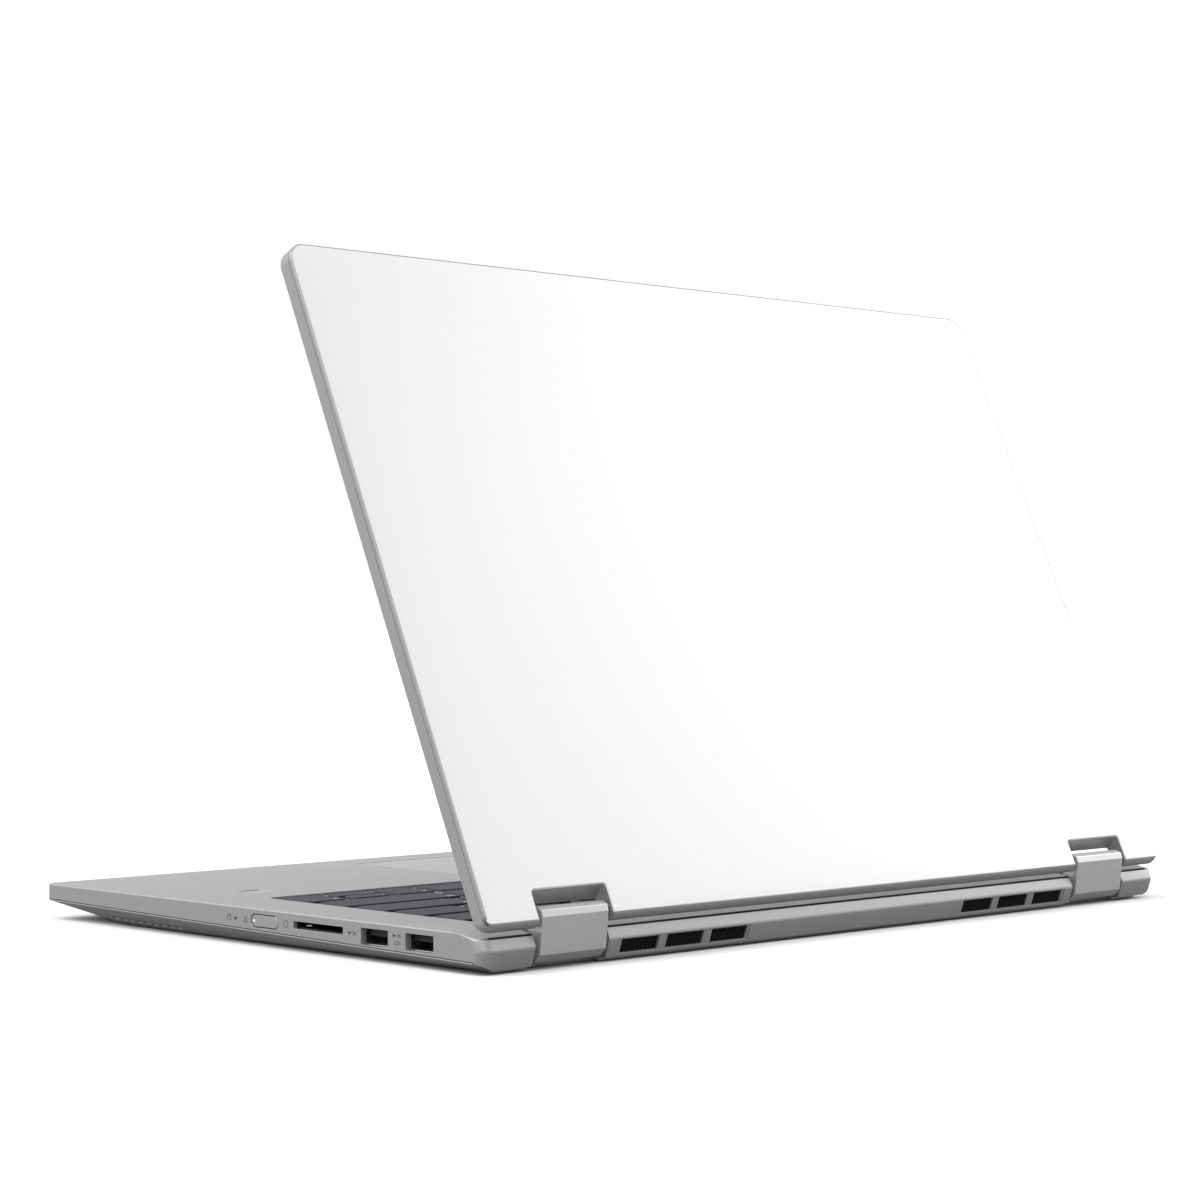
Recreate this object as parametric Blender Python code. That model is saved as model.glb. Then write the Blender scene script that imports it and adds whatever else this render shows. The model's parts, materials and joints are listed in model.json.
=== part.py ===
"""Two-in-one laptop computer with a lid on twin-axis hinges, standing open on its feet.

Frame: X to the user's right, Y towards the hinges, Z up, origin on the table under the middle.
All sizes below are millimetres; the helpers turn them into metres.
The lid is drawn closed, in a frame on its own hinge axis, and an empty opens it to its rest angle.
"""
import math

import bmesh
import bpy
from mathutils import Matrix, Vector

MM = 0.001
GAP = 0.3                      # between pieces that touch on the real thing

# ---- base
HALF_WIDTH = 164.0
FRONT_Y = -111.6
DECK_Z = 12.0
WALL = 1.6
CORNER_RADIUS = 4.0
BELLY_Z = 1.2                  # underside of the bottom cover
BELLY_HALF_WIDTH = 156.5       # where the side chamfers meet the flat underside
BELLY_FRONT_Y = -81.0
FLOOR = 1.4                    # thickness of the bottom cover
PARTING_FRONT_Z = 6.94         # the line between top case and bottom cover falls to the rear
PARTING_SLOPE = -0.0143
REAR_TOP_Z = 9.3               # underside of the deck in the sloping rear zone
REAR_INNER_Y = 105.8
REAR_FOOT = (108.13, 1.3)      # y, z of the rear wall's lower edge
REAR_LIP_Z = (0.35, 1.0)       # strip of the bottom cover below the rear wall
NOTCH_FRONT_Y = 102.3
NOTCH_X = (113.8, 143.5)
DECK_UNDERSIDE_Z = DECK_Z - WALL
PAN_REAR_Y = 118.0             # where the cover's outer form ends before it is trimmed
PAN_REACH = 0.4                # how far that form runs past the base's front and sides

# ---- hinges
UPPER_AXIS = (108.35, 15.2)    # y, z of the lid's axis
LOWER_AXIS = (107.4, 6.0)      # y, z of the base's axis
SHAFT_RADIUS = 1.1
BORE_RADIUS = 1.35
CORE_RADIUS = 2.05
HINGE_X = (115.3, 141.9)
OPEN_ANGLE = 65.5              # degrees between lid and deck at rest

# ---- lid, in its own closed frame: y runs from the axis (0) to the far edge (negative)
LID_HALF_WIDTH = 163.6
LID_FAR_Y = -219.95
LID_HALF_THICKNESS = 2.95
LID_CORNER_RADIUS, LID_END_RADIUS = 6.5, 3.0    # at the far edge, at the hinge end
LID_COVER_EDGE_Y = 1.5
LID_SEAM_Z = 1.4               # between the frame and the outer cover
LID_CUT_X = (113.4, 143.6)
LID_CUT_Y = -7.75              # at the lid's back; the wall leans towards the hinge
LID_CUT_SLOPE = 2.5 / 5.9
PANEL_POCKET_Z = 2.2
GLASS_BACK_Z = -2.25
DISPLAY_HALF_WIDTH = 157.5
DISPLAY_Y = (-210.0, -22.3)

# ---- keyboard
UNIT = 18.7
ROW_PITCH = 18.5
KEYBOARD_LEFT_X = -7.5 * UNIT
KEY_INSET = 1.4
KEY_HOLE_INSET = 1.05
KEY_TOP_Z = 11.9
LATTICE_Z = 11.0
WEB_Z = (9.0, 9.4)
WEB_HALF_DEPTH = 3.0
ROW_FRONT_Y = {"bottom": -17.1, "lower": 1.4, "home": 19.9, "upper": 38.4, "number": 56.9,
               "function": 75.4}
FUNCTION_ROW_DEPTH = 11.5
# name, row, first unit, key widths in units
KEYS = [
    ("keys_function_row", "function", 0.0, [1.0] * 15),
    ("keys_number_row", "number", 0.0, [1.0] * 13),
    ("key_backspace", "number", 13.0, [2.0]),
    ("key_tab", "upper", 0.0, [1.5]),
    ("keys_upper_row", "upper", 1.5, [1.0] * 12 + [1.5]),
    ("key_caps_lock", "home", 0.0, [1.75]),
    ("keys_home_row", "home", 1.75, [1.0] * 11),
    ("key_enter", "home", 12.75, [2.25]),
    ("key_shift_left", "lower", 0.0, [2.25]),
    ("keys_lower_row", "lower", 2.25, [1.0] * 10),
    ("key_shift_right", "lower", 12.25, [2.75]),
    ("keys_modifiers_left", "bottom", 0.0, [1.25, 1.0, 1.0, 1.0]),
    ("key_space", "bottom", 4.25, [5.25]),
    ("keys_modifiers_right", "bottom", 9.5, [1.25, 1.25]),
    ("key_arrow_left", "bottom", 12.0, [1.0]),
    ("key_arrow_right", "bottom", 14.0, [1.0]),
]
ARROW_UNIT = 13.0              # the two half-height arrow keys share this cell
ARROW_SPLIT = 0.45             # half of the gap between them

# ---- touchpad, fingerprint reader
TOUCHPAD = (-64.2, -96.0, 40.8, -26.0)
READER_CENTRE = (130.5, -37.9)
READER_HALF = 5.0

# ---- right side (y ranges, z ranges)
POWER_Y = (2.95, 16.15)
POWER_Z = (6.4, 10.0)
RESET_Y, RESET_Z = -5.05, 8.2
CARD_Y, CARD_Z = (23.9, 47.6), (7.2, 9.5)
USB_HALF_LENGTH, USB_Z = 6.2, (4.95, 10.0)
USB_Y = {"usb_a_port_front": 62.2, "usb_a_port_rear": 82.5}
# ---- left side
HDMI_Y, HDMI_Z = (58.5, 73.5), (5.4, 9.6)
USB_C_Y, USB_C_Z = (41.5, 50.5), (6.0, 9.0)
POWER_JACK, POWER_JACK_RADIUS = (86.0, 7.2), 2.3
AUDIO_JACK, AUDIO_JACK_RADIUS = (29.0, 7.5), 1.9

# ---- rear vents
VENT_FIRST_X, VENT_WIDTH, VENT_PITCH, VENT_COUNT = 53.4, 16.0, 19.4, 3
VENT_Z = (2.4, 6.5)

# ---- fan
FAN_CENTRE = (81.0, 68.0)
FAN_RADIUS = 18.6
FAN_HOUSING = (57.0, 44.0, 105.0, 92.0)
FAN_Z = (3.0, 6.7)


# ------------------------------------------------------------------ helpers
def clear_scene():
    for obj in list(bpy.data.objects):
        bpy.data.objects.remove(obj, do_unlink=True)


def new_collection(name):
    collection = bpy.data.collections.new(name)
    bpy.context.scene.collection.children.link(collection)
    return collection


def material(name, colour, roughness, metallic=0.0):
    mat = bpy.data.materials.new(name)
    mat.use_nodes = True
    shader = mat.node_tree.nodes["Principled BSDF"]
    shader.inputs["Base Color"].default_value = (*colour, 1.0)
    shader.inputs["Roughness"].default_value = roughness
    shader.inputs["Metallic"].default_value = metallic
    mat.diffuse_color = (*colour, 1.0)
    return mat


def place(name, mesh, mat, parent):
    """A mesh becomes a part when it has a material, and a cutter when it has none."""
    obj = bpy.data.objects.new(name, mesh)
    (PARTS if mat else CUTTERS).objects.link(obj)
    if mat:
        mesh.materials.append(mat)
    else:
        obj.hide_render = True
        obj.display_type = "WIRE"
    obj.parent = parent
    return obj


def mesh_of(name, bm):
    mesh = bpy.data.meshes.new(name)
    bm.to_mesh(mesh)
    bm.free()
    return mesh


def add_box(bm, low, high):
    low, high = Vector(low) * MM, Vector(high) * MM
    matrix = Matrix.Translation((low + high) / 2) @ Matrix.Diagonal((*(high - low), 1))
    return bmesh.ops.create_cube(bm, size=1.0, matrix=matrix)["verts"]


def box(name, low, high, mat=None, parent=None, radius=0.0, axis=2, steps=3):
    """A block, with the four edges along one axis rounded where a radius is given."""
    bm = bmesh.new()
    add_box(bm, low, high)
    if radius:
        edges = [e for e in bm.edges if abs((e.verts[0].co - e.verts[1].co).normalized()[axis]) > 0.9]
        bmesh.ops.bevel(bm, geom=edges, offset=radius * MM, segments=steps, profile=0.5, affect="EDGES")
    return place(name, mesh_of(name, bm), mat, parent)


def boxes(name, corners, mat=None, parent=None):
    """Several separate blocks in one mesh, as a cutter or as something to join to a part."""
    bm = bmesh.new()
    for low, high in corners:
        add_box(bm, low, high)
    return place(name, mesh_of(name, bm), mat, parent)


def add_rod(bm, start, end, radius, sides):
    start, end = Vector(start) * MM, Vector(end) * MM
    turn = (end - start).to_track_quat("Z", "Y").to_matrix().to_4x4()
    bmesh.ops.create_cone(bm, cap_ends=True, segments=sides, radius1=radius * MM, radius2=radius * MM,
                          depth=(end - start).length, matrix=Matrix.Translation((start + end) / 2) @ turn)


def rods(name, lines, radius, mat=None, parent=None, sides=16):
    """Round bars from point to point."""
    bm = bmesh.new()
    for start, end in lines:
        add_rod(bm, start, end, radius, sides)
    return place(name, mesh_of(name, bm), mat, parent)


def outline(name, points, low, high, mat=None, parent=None, plane="xy"):
    """A flat outline in the xy or yz plane, drawn as a filled curve and given thickness."""
    curve = bpy.data.curves.new(name + "_outline", "CURVE")
    curve.dimensions = "2D"
    curve.fill_mode = "BOTH"
    curve.extrude = (high - low) / 2 * MM
    spline = curve.splines.new("POLY")
    spline.points.add(len(points) - 1)
    for point, (a, b) in zip(spline.points, points):
        point.co = (a * MM, b * MM, 0.0, 1.0)
    spline.use_cyclic_u = True
    drawn = bpy.data.objects.new(name + "_drawn", curve)
    CUTTERS.objects.link(drawn)
    bpy.context.view_layer.update()
    mesh = bpy.data.meshes.new_from_object(drawn.evaluated_get(bpy.context.evaluated_depsgraph_get()))
    bpy.data.objects.remove(drawn)
    bpy.data.curves.remove(curve)
    middle = Matrix.Translation((0, 0, (low + high) / 2 * MM))
    if plane == "yz":
        middle = Matrix(((0, 0, 1, 0), (1, 0, 0, 0), (0, 1, 0, 0), (0, 0, 0, 1))) @ middle
    bm = bmesh.new()
    bm.from_mesh(mesh)
    bpy.data.meshes.remove(mesh)
    bmesh.ops.remove_doubles(bm, verts=bm.verts, dist=1e-6)
    bmesh.ops.transform(bm, matrix=middle, verts=bm.verts)
    bmesh.ops.recalc_face_normals(bm, faces=bm.faces)
    return place(name, mesh_of(name, bm), mat, parent)


def frustum(name, top, bottom, mat=None, parent=None):
    """A block whose corners are lists of (x, y, z): four above, four below, in the same order."""
    bm = bmesh.new()
    verts = bmesh.ops.create_cube(bm, size=2.0)["verts"]
    for vert in verts:
        corners = top if vert.co.z > 0 else bottom
        index = (2 if vert.co.y > 0 else 0) + (1 if vert.co.x > 0 else 0)
        vert.co = Vector(corners[index]) * MM
    bmesh.ops.triangulate(bm, faces=bm.faces)
    return place(name, mesh_of(name, bm), mat, parent)


def combine(obj, operation, *others):
    for other in others:
        modifier = obj.modifiers.new(other.name, "BOOLEAN")
        modifier.operation = operation
        modifier.object = other
        modifier.solver = "EXACT"
    return obj


def cut(obj, *cutters):
    return combine(obj, "DIFFERENCE", *cutters)


def join(obj, *others):
    return combine(obj, "UNION", *others)


def keep_inside(obj, *others):
    return combine(obj, "INTERSECT", *others)


def set_origin(obj, point):
    """Puts an object's origin on its joint and leaves its shape where it is."""
    offset = Vector(point) * MM
    obj.data.transform(Matrix.Translation(-offset))
    obj.location = offset


def empty(name, location, rotation=(0, 0, 0)):
    pivot = bpy.data.objects.new(name, None)
    PARTS.objects.link(pivot)
    pivot.location = Vector(location) * MM
    pivot.rotation_euler = rotation
    return pivot


def mirrored(low, high, side):
    """The x range of a block on the right (side 1) or on the left (side -1)."""
    xs = sorted((low[0] * side, high[0] * side))
    return (xs[0], *low[1:]), (xs[1], *high[1:])


def parting_z(y):
    return PARTING_FRONT_Z + PARTING_SLOPE * (y - FRONT_Y)


def capsule(radius, arc_steps=6):
    """Outline in y, z of two equal circles on the hinge axes and the band round them."""
    upper, lower = Vector(UPPER_AXIS), Vector(LOWER_AXIS)
    lean = math.atan2(upper.y - lower.y, upper.x - lower.x)
    points = []
    for centre, start in ((upper, lean - math.pi / 2), (lower, lean + math.pi / 2)):
        for step in range(arc_steps + 1):
            angle = start + math.pi * step / arc_steps
            points.append((centre.x + radius * math.cos(angle), centre.y + radius * math.sin(angle)))
    return points


SIDES = (("right", 1), ("left", -1))


# ------------------------------------------------------------------ keyboard layout
def key_cells():
    """Every key's node and its cell (x0, y0, x1, y1), cap and gap together."""
    cells = []
    for name, row, first, widths in KEYS:
        x = KEYBOARD_LEFT_X + first * UNIT
        front = ROW_FRONT_Y[row]
        depth = FUNCTION_ROW_DEPTH if row == "function" else ROW_PITCH
        for width in widths:
            cells.append((name, (x, front, x + width * UNIT, front + depth)))
            x += width * UNIT
    x = KEYBOARD_LEFT_X + ARROW_UNIT * UNIT
    front = ROW_FRONT_Y["bottom"]
    middle = front + ROW_PITCH / 2
    reach = KEY_INSET - ARROW_SPLIT
    cells.append(("key_arrow_down", (x, front, x + UNIT, middle + reach)))
    cells.append(("key_arrow_up", (x, middle - reach, x + UNIT, front + ROW_PITCH)))
    return cells


def inset(cell, amount):
    return cell[0] + amount, cell[1] + amount, cell[2] - amount, cell[3] - amount


# ------------------------------------------------------------------ base
def side_openings():
    """Openings in the two side walls: blocks first, then round holes."""
    reach = (HALF_WIDTH - WALL - 1.0, HALF_WIDTH + 1.0)
    right = [CARD_Y + CARD_Z]
    right += [(y - USB_HALF_LENGTH, y + USB_HALF_LENGTH) + USB_Z for y in USB_Y.values()]
    left = [HDMI_Y + HDMI_Z, USB_C_Y + USB_C_Z]
    corners = [((reach[0], y0, z0), (reach[1], y1, z1)) for y0, y1, z0, z1 in right]
    corners += [((-reach[1], y0, z0), (-reach[0], y1, z1)) for y0, y1, z0, z1 in left]
    return boxes("side_openings", corners)


def vent_openings():
    corners = []
    for _, side in SIDES:
        for index in range(VENT_COUNT):
            x = VENT_FIRST_X + VENT_PITCH * index
            corners.append(mirrored((x, REAR_INNER_Y - 2, VENT_Z[0]), (x + VENT_WIDTH, 115, VENT_Z[1]), side))
    return boxes("vent_openings", corners)


def cavity_outline(side_x, front_y, rear_y):
    """The hollow inside the base: it steps round the two hinge notches."""
    inner, outer = NOTCH_X[0] - WALL, NOTCH_X[1] + WALL
    step_y = NOTCH_FRONT_Y - 2.0
    half = [(side_x, front_y), (side_x, rear_y), (outer, rear_y), (outer, step_y), (inner, step_y),
            (inner, rear_y)]
    return half + [(-x, y) for x, y in reversed(half)]


def notch_blocks(name):
    return boxes(name, [mirrored((NOTCH_X[0], NOTCH_FRONT_Y, -5), (NOTCH_X[1], 120, 25), side)
                        for _, side in SIDES])


def plan_limit(name, rear_y):
    return box(name, (-HALF_WIDTH, FRONT_Y, -5), (HALF_WIDTH, rear_y, 25), radius=CORNER_RADIUS)


def rear_chamfers():
    """Cutters that carry the bottom cover's side chamfers on across the rear wall."""
    run = HALF_WIDTH + PAN_REACH - BELLY_HALF_WIDTH
    slope = (parting_z(REAR_INNER_Y) - GAP / 2 - BELLY_Z) / run
    cutters = []
    for word, side in SIDES:
        xs = sorted((side * (BELLY_HALF_WIDTH - 5), side * (BELLY_HALF_WIDTH + 15)))
        top = [(x, y, BELLY_Z + slope * (abs(x) - BELLY_HALF_WIDTH))
               for y in (REAR_INNER_Y - 0.4, 120) for x in xs]
        cutters.append(frustum("rear_chamfer_" + word, top, [(x, y, -6) for x, y, _ in top]))
    return cutters


def make_top_case():
    parting_rear = parting_z(REAR_INNER_Y) + GAP / 2
    profile = [(-116, parting_z(-116) + GAP / 2), (REAR_INNER_Y - 0.05, parting_rear),
               (REAR_INNER_Y - 0.05, REAR_FOOT[1]), REAR_FOOT, (110.0, 7.0), (108.7, 10.5), (104.0, 11.4),
               (98.0, DECK_Z), (-116, DECK_Z)]
    case = outline("top_case", profile, -170, 170, SILVER, plane="yz")
    wide = HALF_WIDTH - WALL
    hollow = outline("base_hollow", cavity_outline(wide, FRONT_Y + WALL, REAR_INNER_Y), -5, REAR_TOP_Z)
    upper_hollow = box("deck_hollow", (-wide, FRONT_Y + WALL, 8.9), (wide, 97.0, DECK_UNDERSIDE_Z))
    pocket = box("keyboard_pocket", (KEYBOARD_LEFT_X - 1.1, -18.2, LATTICE_Z),
                 (-KEYBOARD_LEFT_X + 1.1, 88.0, 14), radius=3)
    x0, y0, x1, y1 = inset(TOUCHPAD, -0.4)
    holes = [((x0, y0, 8), (x1, y1, 14))]
    cx, cy = READER_CENTRE
    reader = READER_HALF + GAP
    holes.append(((cx - reader, cy - reader, 8), (cx + reader, cy + reader, 14)))
    for _, cell in key_cells():
        x0, y0, x1, y1 = inset(cell, KEY_HOLE_INSET)
        holes.append(((x0, y0, 8), (x1, y1, 13)))
    deck_holes = boxes("deck_holes", holes)
    power_hole = box("power_hole", (160, POWER_Y[0] - GAP, POWER_Z[0] - GAP),
                     (166, POWER_Y[1] + GAP, POWER_Z[1] + GAP), radius=2.0, axis=0)
    reset_hole = rods("reset_hole", [((160, RESET_Y, RESET_Z), (166, RESET_Y, RESET_Z))], 0.6, sides=12)
    jack_hole = rods("jack_hole", [((-166, *POWER_JACK), (-160, *POWER_JACK))], POWER_JACK_RADIUS + 0.4)
    audio_hole = rods("audio_hole", [((-166, *AUDIO_JACK), (-160, *AUDIO_JACK))], AUDIO_JACK_RADIUS + 0.3)
    bores = rods("lower_shaft_bores", [((side * 108.2, *LOWER_AXIS), (side * 115, *LOWER_AXIS))
                                       for _, side in SIDES], BORE_RADIUS)
    arm_pockets = boxes("base_arm_pockets", [mirrored((108.6, 104.0, 4.6), (112.4, 108.6, 7.7), side)
                                             for _, side in SIDES])
    keep_inside(case, plan_limit("top_case_plan", 110.3))
    cut(case, *rear_chamfers(), hollow, upper_hollow, notch_blocks("top_case_notches"), bores, arm_pockets,
        pocket, deck_holes, side_openings(), vent_openings(), power_hole, reset_hole, jack_hole, audio_hole)


def pan(name, lift):
    """The faceted outer form of the bottom cover, moved up by lift."""
    reach, rear = PAN_REACH, PAN_REAR_Y
    top_front, top_rear = parting_z(FRONT_Y) - GAP / 2 + lift, parting_z(rear) - GAP / 2 + lift
    wide, belly = HALF_WIDTH + reach, BELLY_HALF_WIDTH
    top = [(-wide, FRONT_Y - reach, top_front), (wide, FRONT_Y - reach, top_front),
           (-wide, rear, top_rear), (wide, rear, top_rear)]
    low = BELLY_Z + lift
    bottom = [(-belly, BELLY_FRONT_Y, low), (belly, BELLY_FRONT_Y, low),
              (-belly, rear, low), (belly, rear, low)]
    return name, top, bottom


def make_bottom_cover():
    cover = frustum(*pan("bottom_cover", 0.0), BELLY)
    keep_inside(cover, plan_limit("bottom_cover_plan", 125))
    wide = HALF_WIDTH - WALL - 0.2
    behind = PAN_REAR_Y + 5
    hollow = outline("bottom_hollow", cavity_outline(wide, FRONT_Y + WALL + 0.1, behind), -6, 26)
    name, top, bottom = pan("bottom_hollow_form", FLOOR)
    rise, side_run, front_run = 8.0, 11.3, 43.0    # carries the chamfers on above the cover's edge
    top = [(x + math.copysign(side_run, x), y - front_run if y < 0 else behind + 5, z + rise)
           for x, y, z in top]
    bottom = [(x, y if y < 0 else behind + 5, z) for x, y, z in bottom]
    keep_inside(hollow, frustum(name, top, bottom))
    inner, outer = NOTCH_X
    rear_y = REAR_INNER_Y - 0.4
    half = [(inner, rear_y), (inner, NOTCH_FRONT_Y), (outer, NOTCH_FRONT_Y), (outer, rear_y), (170, rear_y),
            (170, behind)]
    relief = half + [(-x, y) for x, y in reversed(half)]
    rear_relief = outline("rear_relief", relief, -7, 27)
    slots = [((60, 50 + 5 * i, -2), (102, 52.2 + 5 * i, 4)) for i in range(8)]
    for _, side in SIDES:
        slots += [mirrored((158.3, -78 + 4.4 * i, -2), (160.0, -75.4 + 4.4 * i, 6.2), side) for i in range(9)]
    reliefs = [((147, 53, 3.8), (162.4, 92, 12)), ((-162.4, 53, 3.8), (-147, 92, 12)),
               ((-162.4, 24, 4.5), (-147, 34, 12))]
    cut(cover, hollow, rear_relief, boxes("intake_and_speaker_slots", slots), boxes("port_reliefs", reliefs))
    low_z, high_z = REAR_LIP_Z
    lip_x = inner - WALL
    end_y = REAR_FOOT[0] - GAP
    profile = [(rear_y - 4, low_z), (end_y, low_z), (end_y, high_z), (rear_y - 0.2, high_z),
               (rear_y - 0.2, BELLY_Z + 0.3), (rear_y - 4, BELLY_Z + 0.3)]
    join(cover, outline("rear_lip", profile, -lip_x, lip_x, plane="yz"))


def make_feet():
    box("rear_foot", (-118, 84, 0), (118, 92, BELLY_Z - GAP), RUBBER, radius=3.0)
    for word, side in SIDES:
        low, high = mirrored((84, -74, 0), (116, -68, BELLY_Z - GAP), side)
        box("front_foot_" + word, low, high, RUBBER, radius=2.5)


def make_port(name, y_range, z_range, side, depth, tongue, tongue_z, mat):
    """A metal sleeve behind the side wall, closed at its inner end, with a contact tongue."""
    face = HALF_WIDTH - WALL - GAP
    metal = 0.3
    low, high = mirrored((face - depth, y_range[0] - metal, z_range[0]),
                         (face, y_range[1] + metal, z_range[1]), side)
    sleeve = box(name, low, high, mat)
    low, high = mirrored((face - depth + 1.0, y_range[0], z_range[0] + metal),
                         (face + 2, y_range[1], z_range[1] - metal), side)
    mouth = box(name + "_mouth", low, high)
    low, high = mirrored((face - depth + 0.5, y_range[0] + tongue, tongue_z[0]),
                         (face - 1.0, y_range[1] - tongue, tongue_z[1]), side)
    join(cut(sleeve, mouth), box(name + "_tongue", low, high))


def make_jack(name, centre, radius, depth, pin_radius):
    """A round socket: a block with a bore, and a centre pin where it has one."""
    face = HALF_WIDTH - WALL - GAP
    y, z = centre
    rim = radius + 0.7
    block = box(name, (-face, y - rim, z - rim), (-face + depth, y + rim, z + rim), BLACK)
    cut(block, rods(name + "_bore", [((-face - 1, y, z), (-face + depth - 1.2, y, z))], radius))
    if pin_radius:
        pin = rods(name + "_pin", [((-face + 1.0, y, z), (-face + depth - 0.6, y, z))], pin_radius, sides=8)
        join(block, pin)


def make_ports():
    for name, y in USB_Y.items():
        make_port(name, (y - USB_HALF_LENGTH, y + USB_HALF_LENGTH), USB_Z, 1, 14.0, 0.9, (7.7, 9.3), STEEL)
    make_port("card_reader", CARD_Y, CARD_Z, 1, 12.0, 2.0, (8.7, 9.2), STEEL)
    make_port("hdmi_port", HDMI_Y, HDMI_Z, -1, 11.0, 2.2, (7.0, 8.2), STEEL)
    make_port("usb_c_port", USB_C_Y, USB_C_Z, -1, 8.0, 1.5, (7.1, 7.9), STEEL)
    make_jack("power_jack", POWER_JACK, POWER_JACK_RADIUS, 11.0, 0.5)
    make_jack("audio_jack", AUDIO_JACK, AUDIO_JACK_RADIUS, 12.0, 0.0)


def make_controls():
    x0, y0, x1, y1 = TOUCHPAD
    pad = box("touchpad", (x0, y0, 10.3), (x1, y1, DECK_Z - 0.15), SATIN, radius=2.0)
    set_origin(pad, ((x0 + x1) / 2, y1, 11.0))
    cx, cy = READER_CENTRE
    box("fingerprint_reader", (cx - READER_HALF, cy - READER_HALF, 10.6),
        (cx + READER_HALF, cy + READER_HALF, DECK_Z - 0.2), SATIN, radius=1.5)
    button = box("power_button", (161.7, POWER_Y[0], POWER_Z[0]), (163.9, POWER_Y[1], POWER_Z[1]), SATIN,
                 radius=1.75, axis=0)
    flange = box("power_flange", (160.9, POWER_Y[0] - 1, POWER_Z[0] - 0.6),
                 (161.9, POWER_Y[1] + 1, POWER_Z[1] + 0.3))
    join(button, flange)
    rods("reset_button", [((160.6, RESET_Y, RESET_Z), (162.0, RESET_Y, RESET_Z))], 0.9, BLACK)


def make_keys():
    caps = {}
    for name, cell in key_cells():
        caps.setdefault(name, []).append(inset(cell, KEY_INSET))
    for name, cells in caps.items():
        blocks = [((x0, y0, WEB_Z[0] + 0.2), (x1, y1, KEY_TOP_Z)) for x0, y0, x1, y1 in cells]
        middle = (cells[0][1] + cells[0][3]) / 2
        x0, x1 = cells[0][0] + 1.0, cells[-1][2] - 1.0
        y0, y1 = middle - WEB_HALF_DEPTH, middle + WEB_HALF_DEPTH
        key = box(name, (x0, y0, WEB_Z[0]), (x1, y1, WEB_Z[1]), SLATE)
        join(key, boxes(name + "_caps", blocks))
        set_origin(key, ((x0 + x1) / 2, middle, KEY_TOP_Z))


# ------------------------------------------------------------------ inside the base
def make_internals():
    box("keyboard_plate", (-139.5, -16.0, 7.0), (139.5, 86.0, 7.5), STEEL)
    board = [(-157.8, 22), (-157.8, 81), (-143, 81), (-143, 60), (-106, 60), (-106, 93), (52, 93), (52, 22)]
    mainboard = outline("mainboard", board, 3.6, 4.6, GREEN)
    chips = [((-20, 52, 4.4), (8, 76, 5.2)), ((-70, 40, 4.4), (-52, 52, 5.4)),
             ((-70, 56, 4.4), (-52, 68, 5.4)), ((22, 30, 4.4), (38, 46, 5.3)),
             ((-130, 30, 4.4), (-118, 42, 5.2))]
    join(mainboard, boxes("mainboard_chips", chips))
    side_board = box("io_board", (142.5, -12.0, 3.6), (157.8, 92.0, 4.1), GREEN)
    sockets = [((150, 4, 3.9), (157, 15, 6.0)), ((144, 30, 3.9), (147, 40, 5.5))]
    join(side_board, boxes("io_board_parts", sockets))
    battery = box("battery_pack", (-124, -78, 3.1), (124, -21, 8.6), BLACK, radius=1.5)
    grooves = [((-124 + 62 * i - 0.4, -80, 8.2), (-124 + 62 * i + 0.4, -19, 10)) for i in (1, 2, 3)]
    cut(battery, boxes("battery_grooves", grooves))
    box("ssd_module", (10, -10, 3.6), (90, 12, 5.0), GREEN)
    box("wifi_card", (-96, -12, 3.6), (-66, 10, 4.8), GREEN)
    for word, side in SIDES:
        low, high = mirrored((130, -78, 3.4), (153, -34, 8.4), side)
        speaker = box("speaker_" + word, low, high, BLACK, radius=2.0)
        low, high = mirrored((133, -72, 2.6), (147, -40, 3.9), side)
        cut(speaker, box("speaker_mouth_" + word, low, high, radius=3.0))


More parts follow.
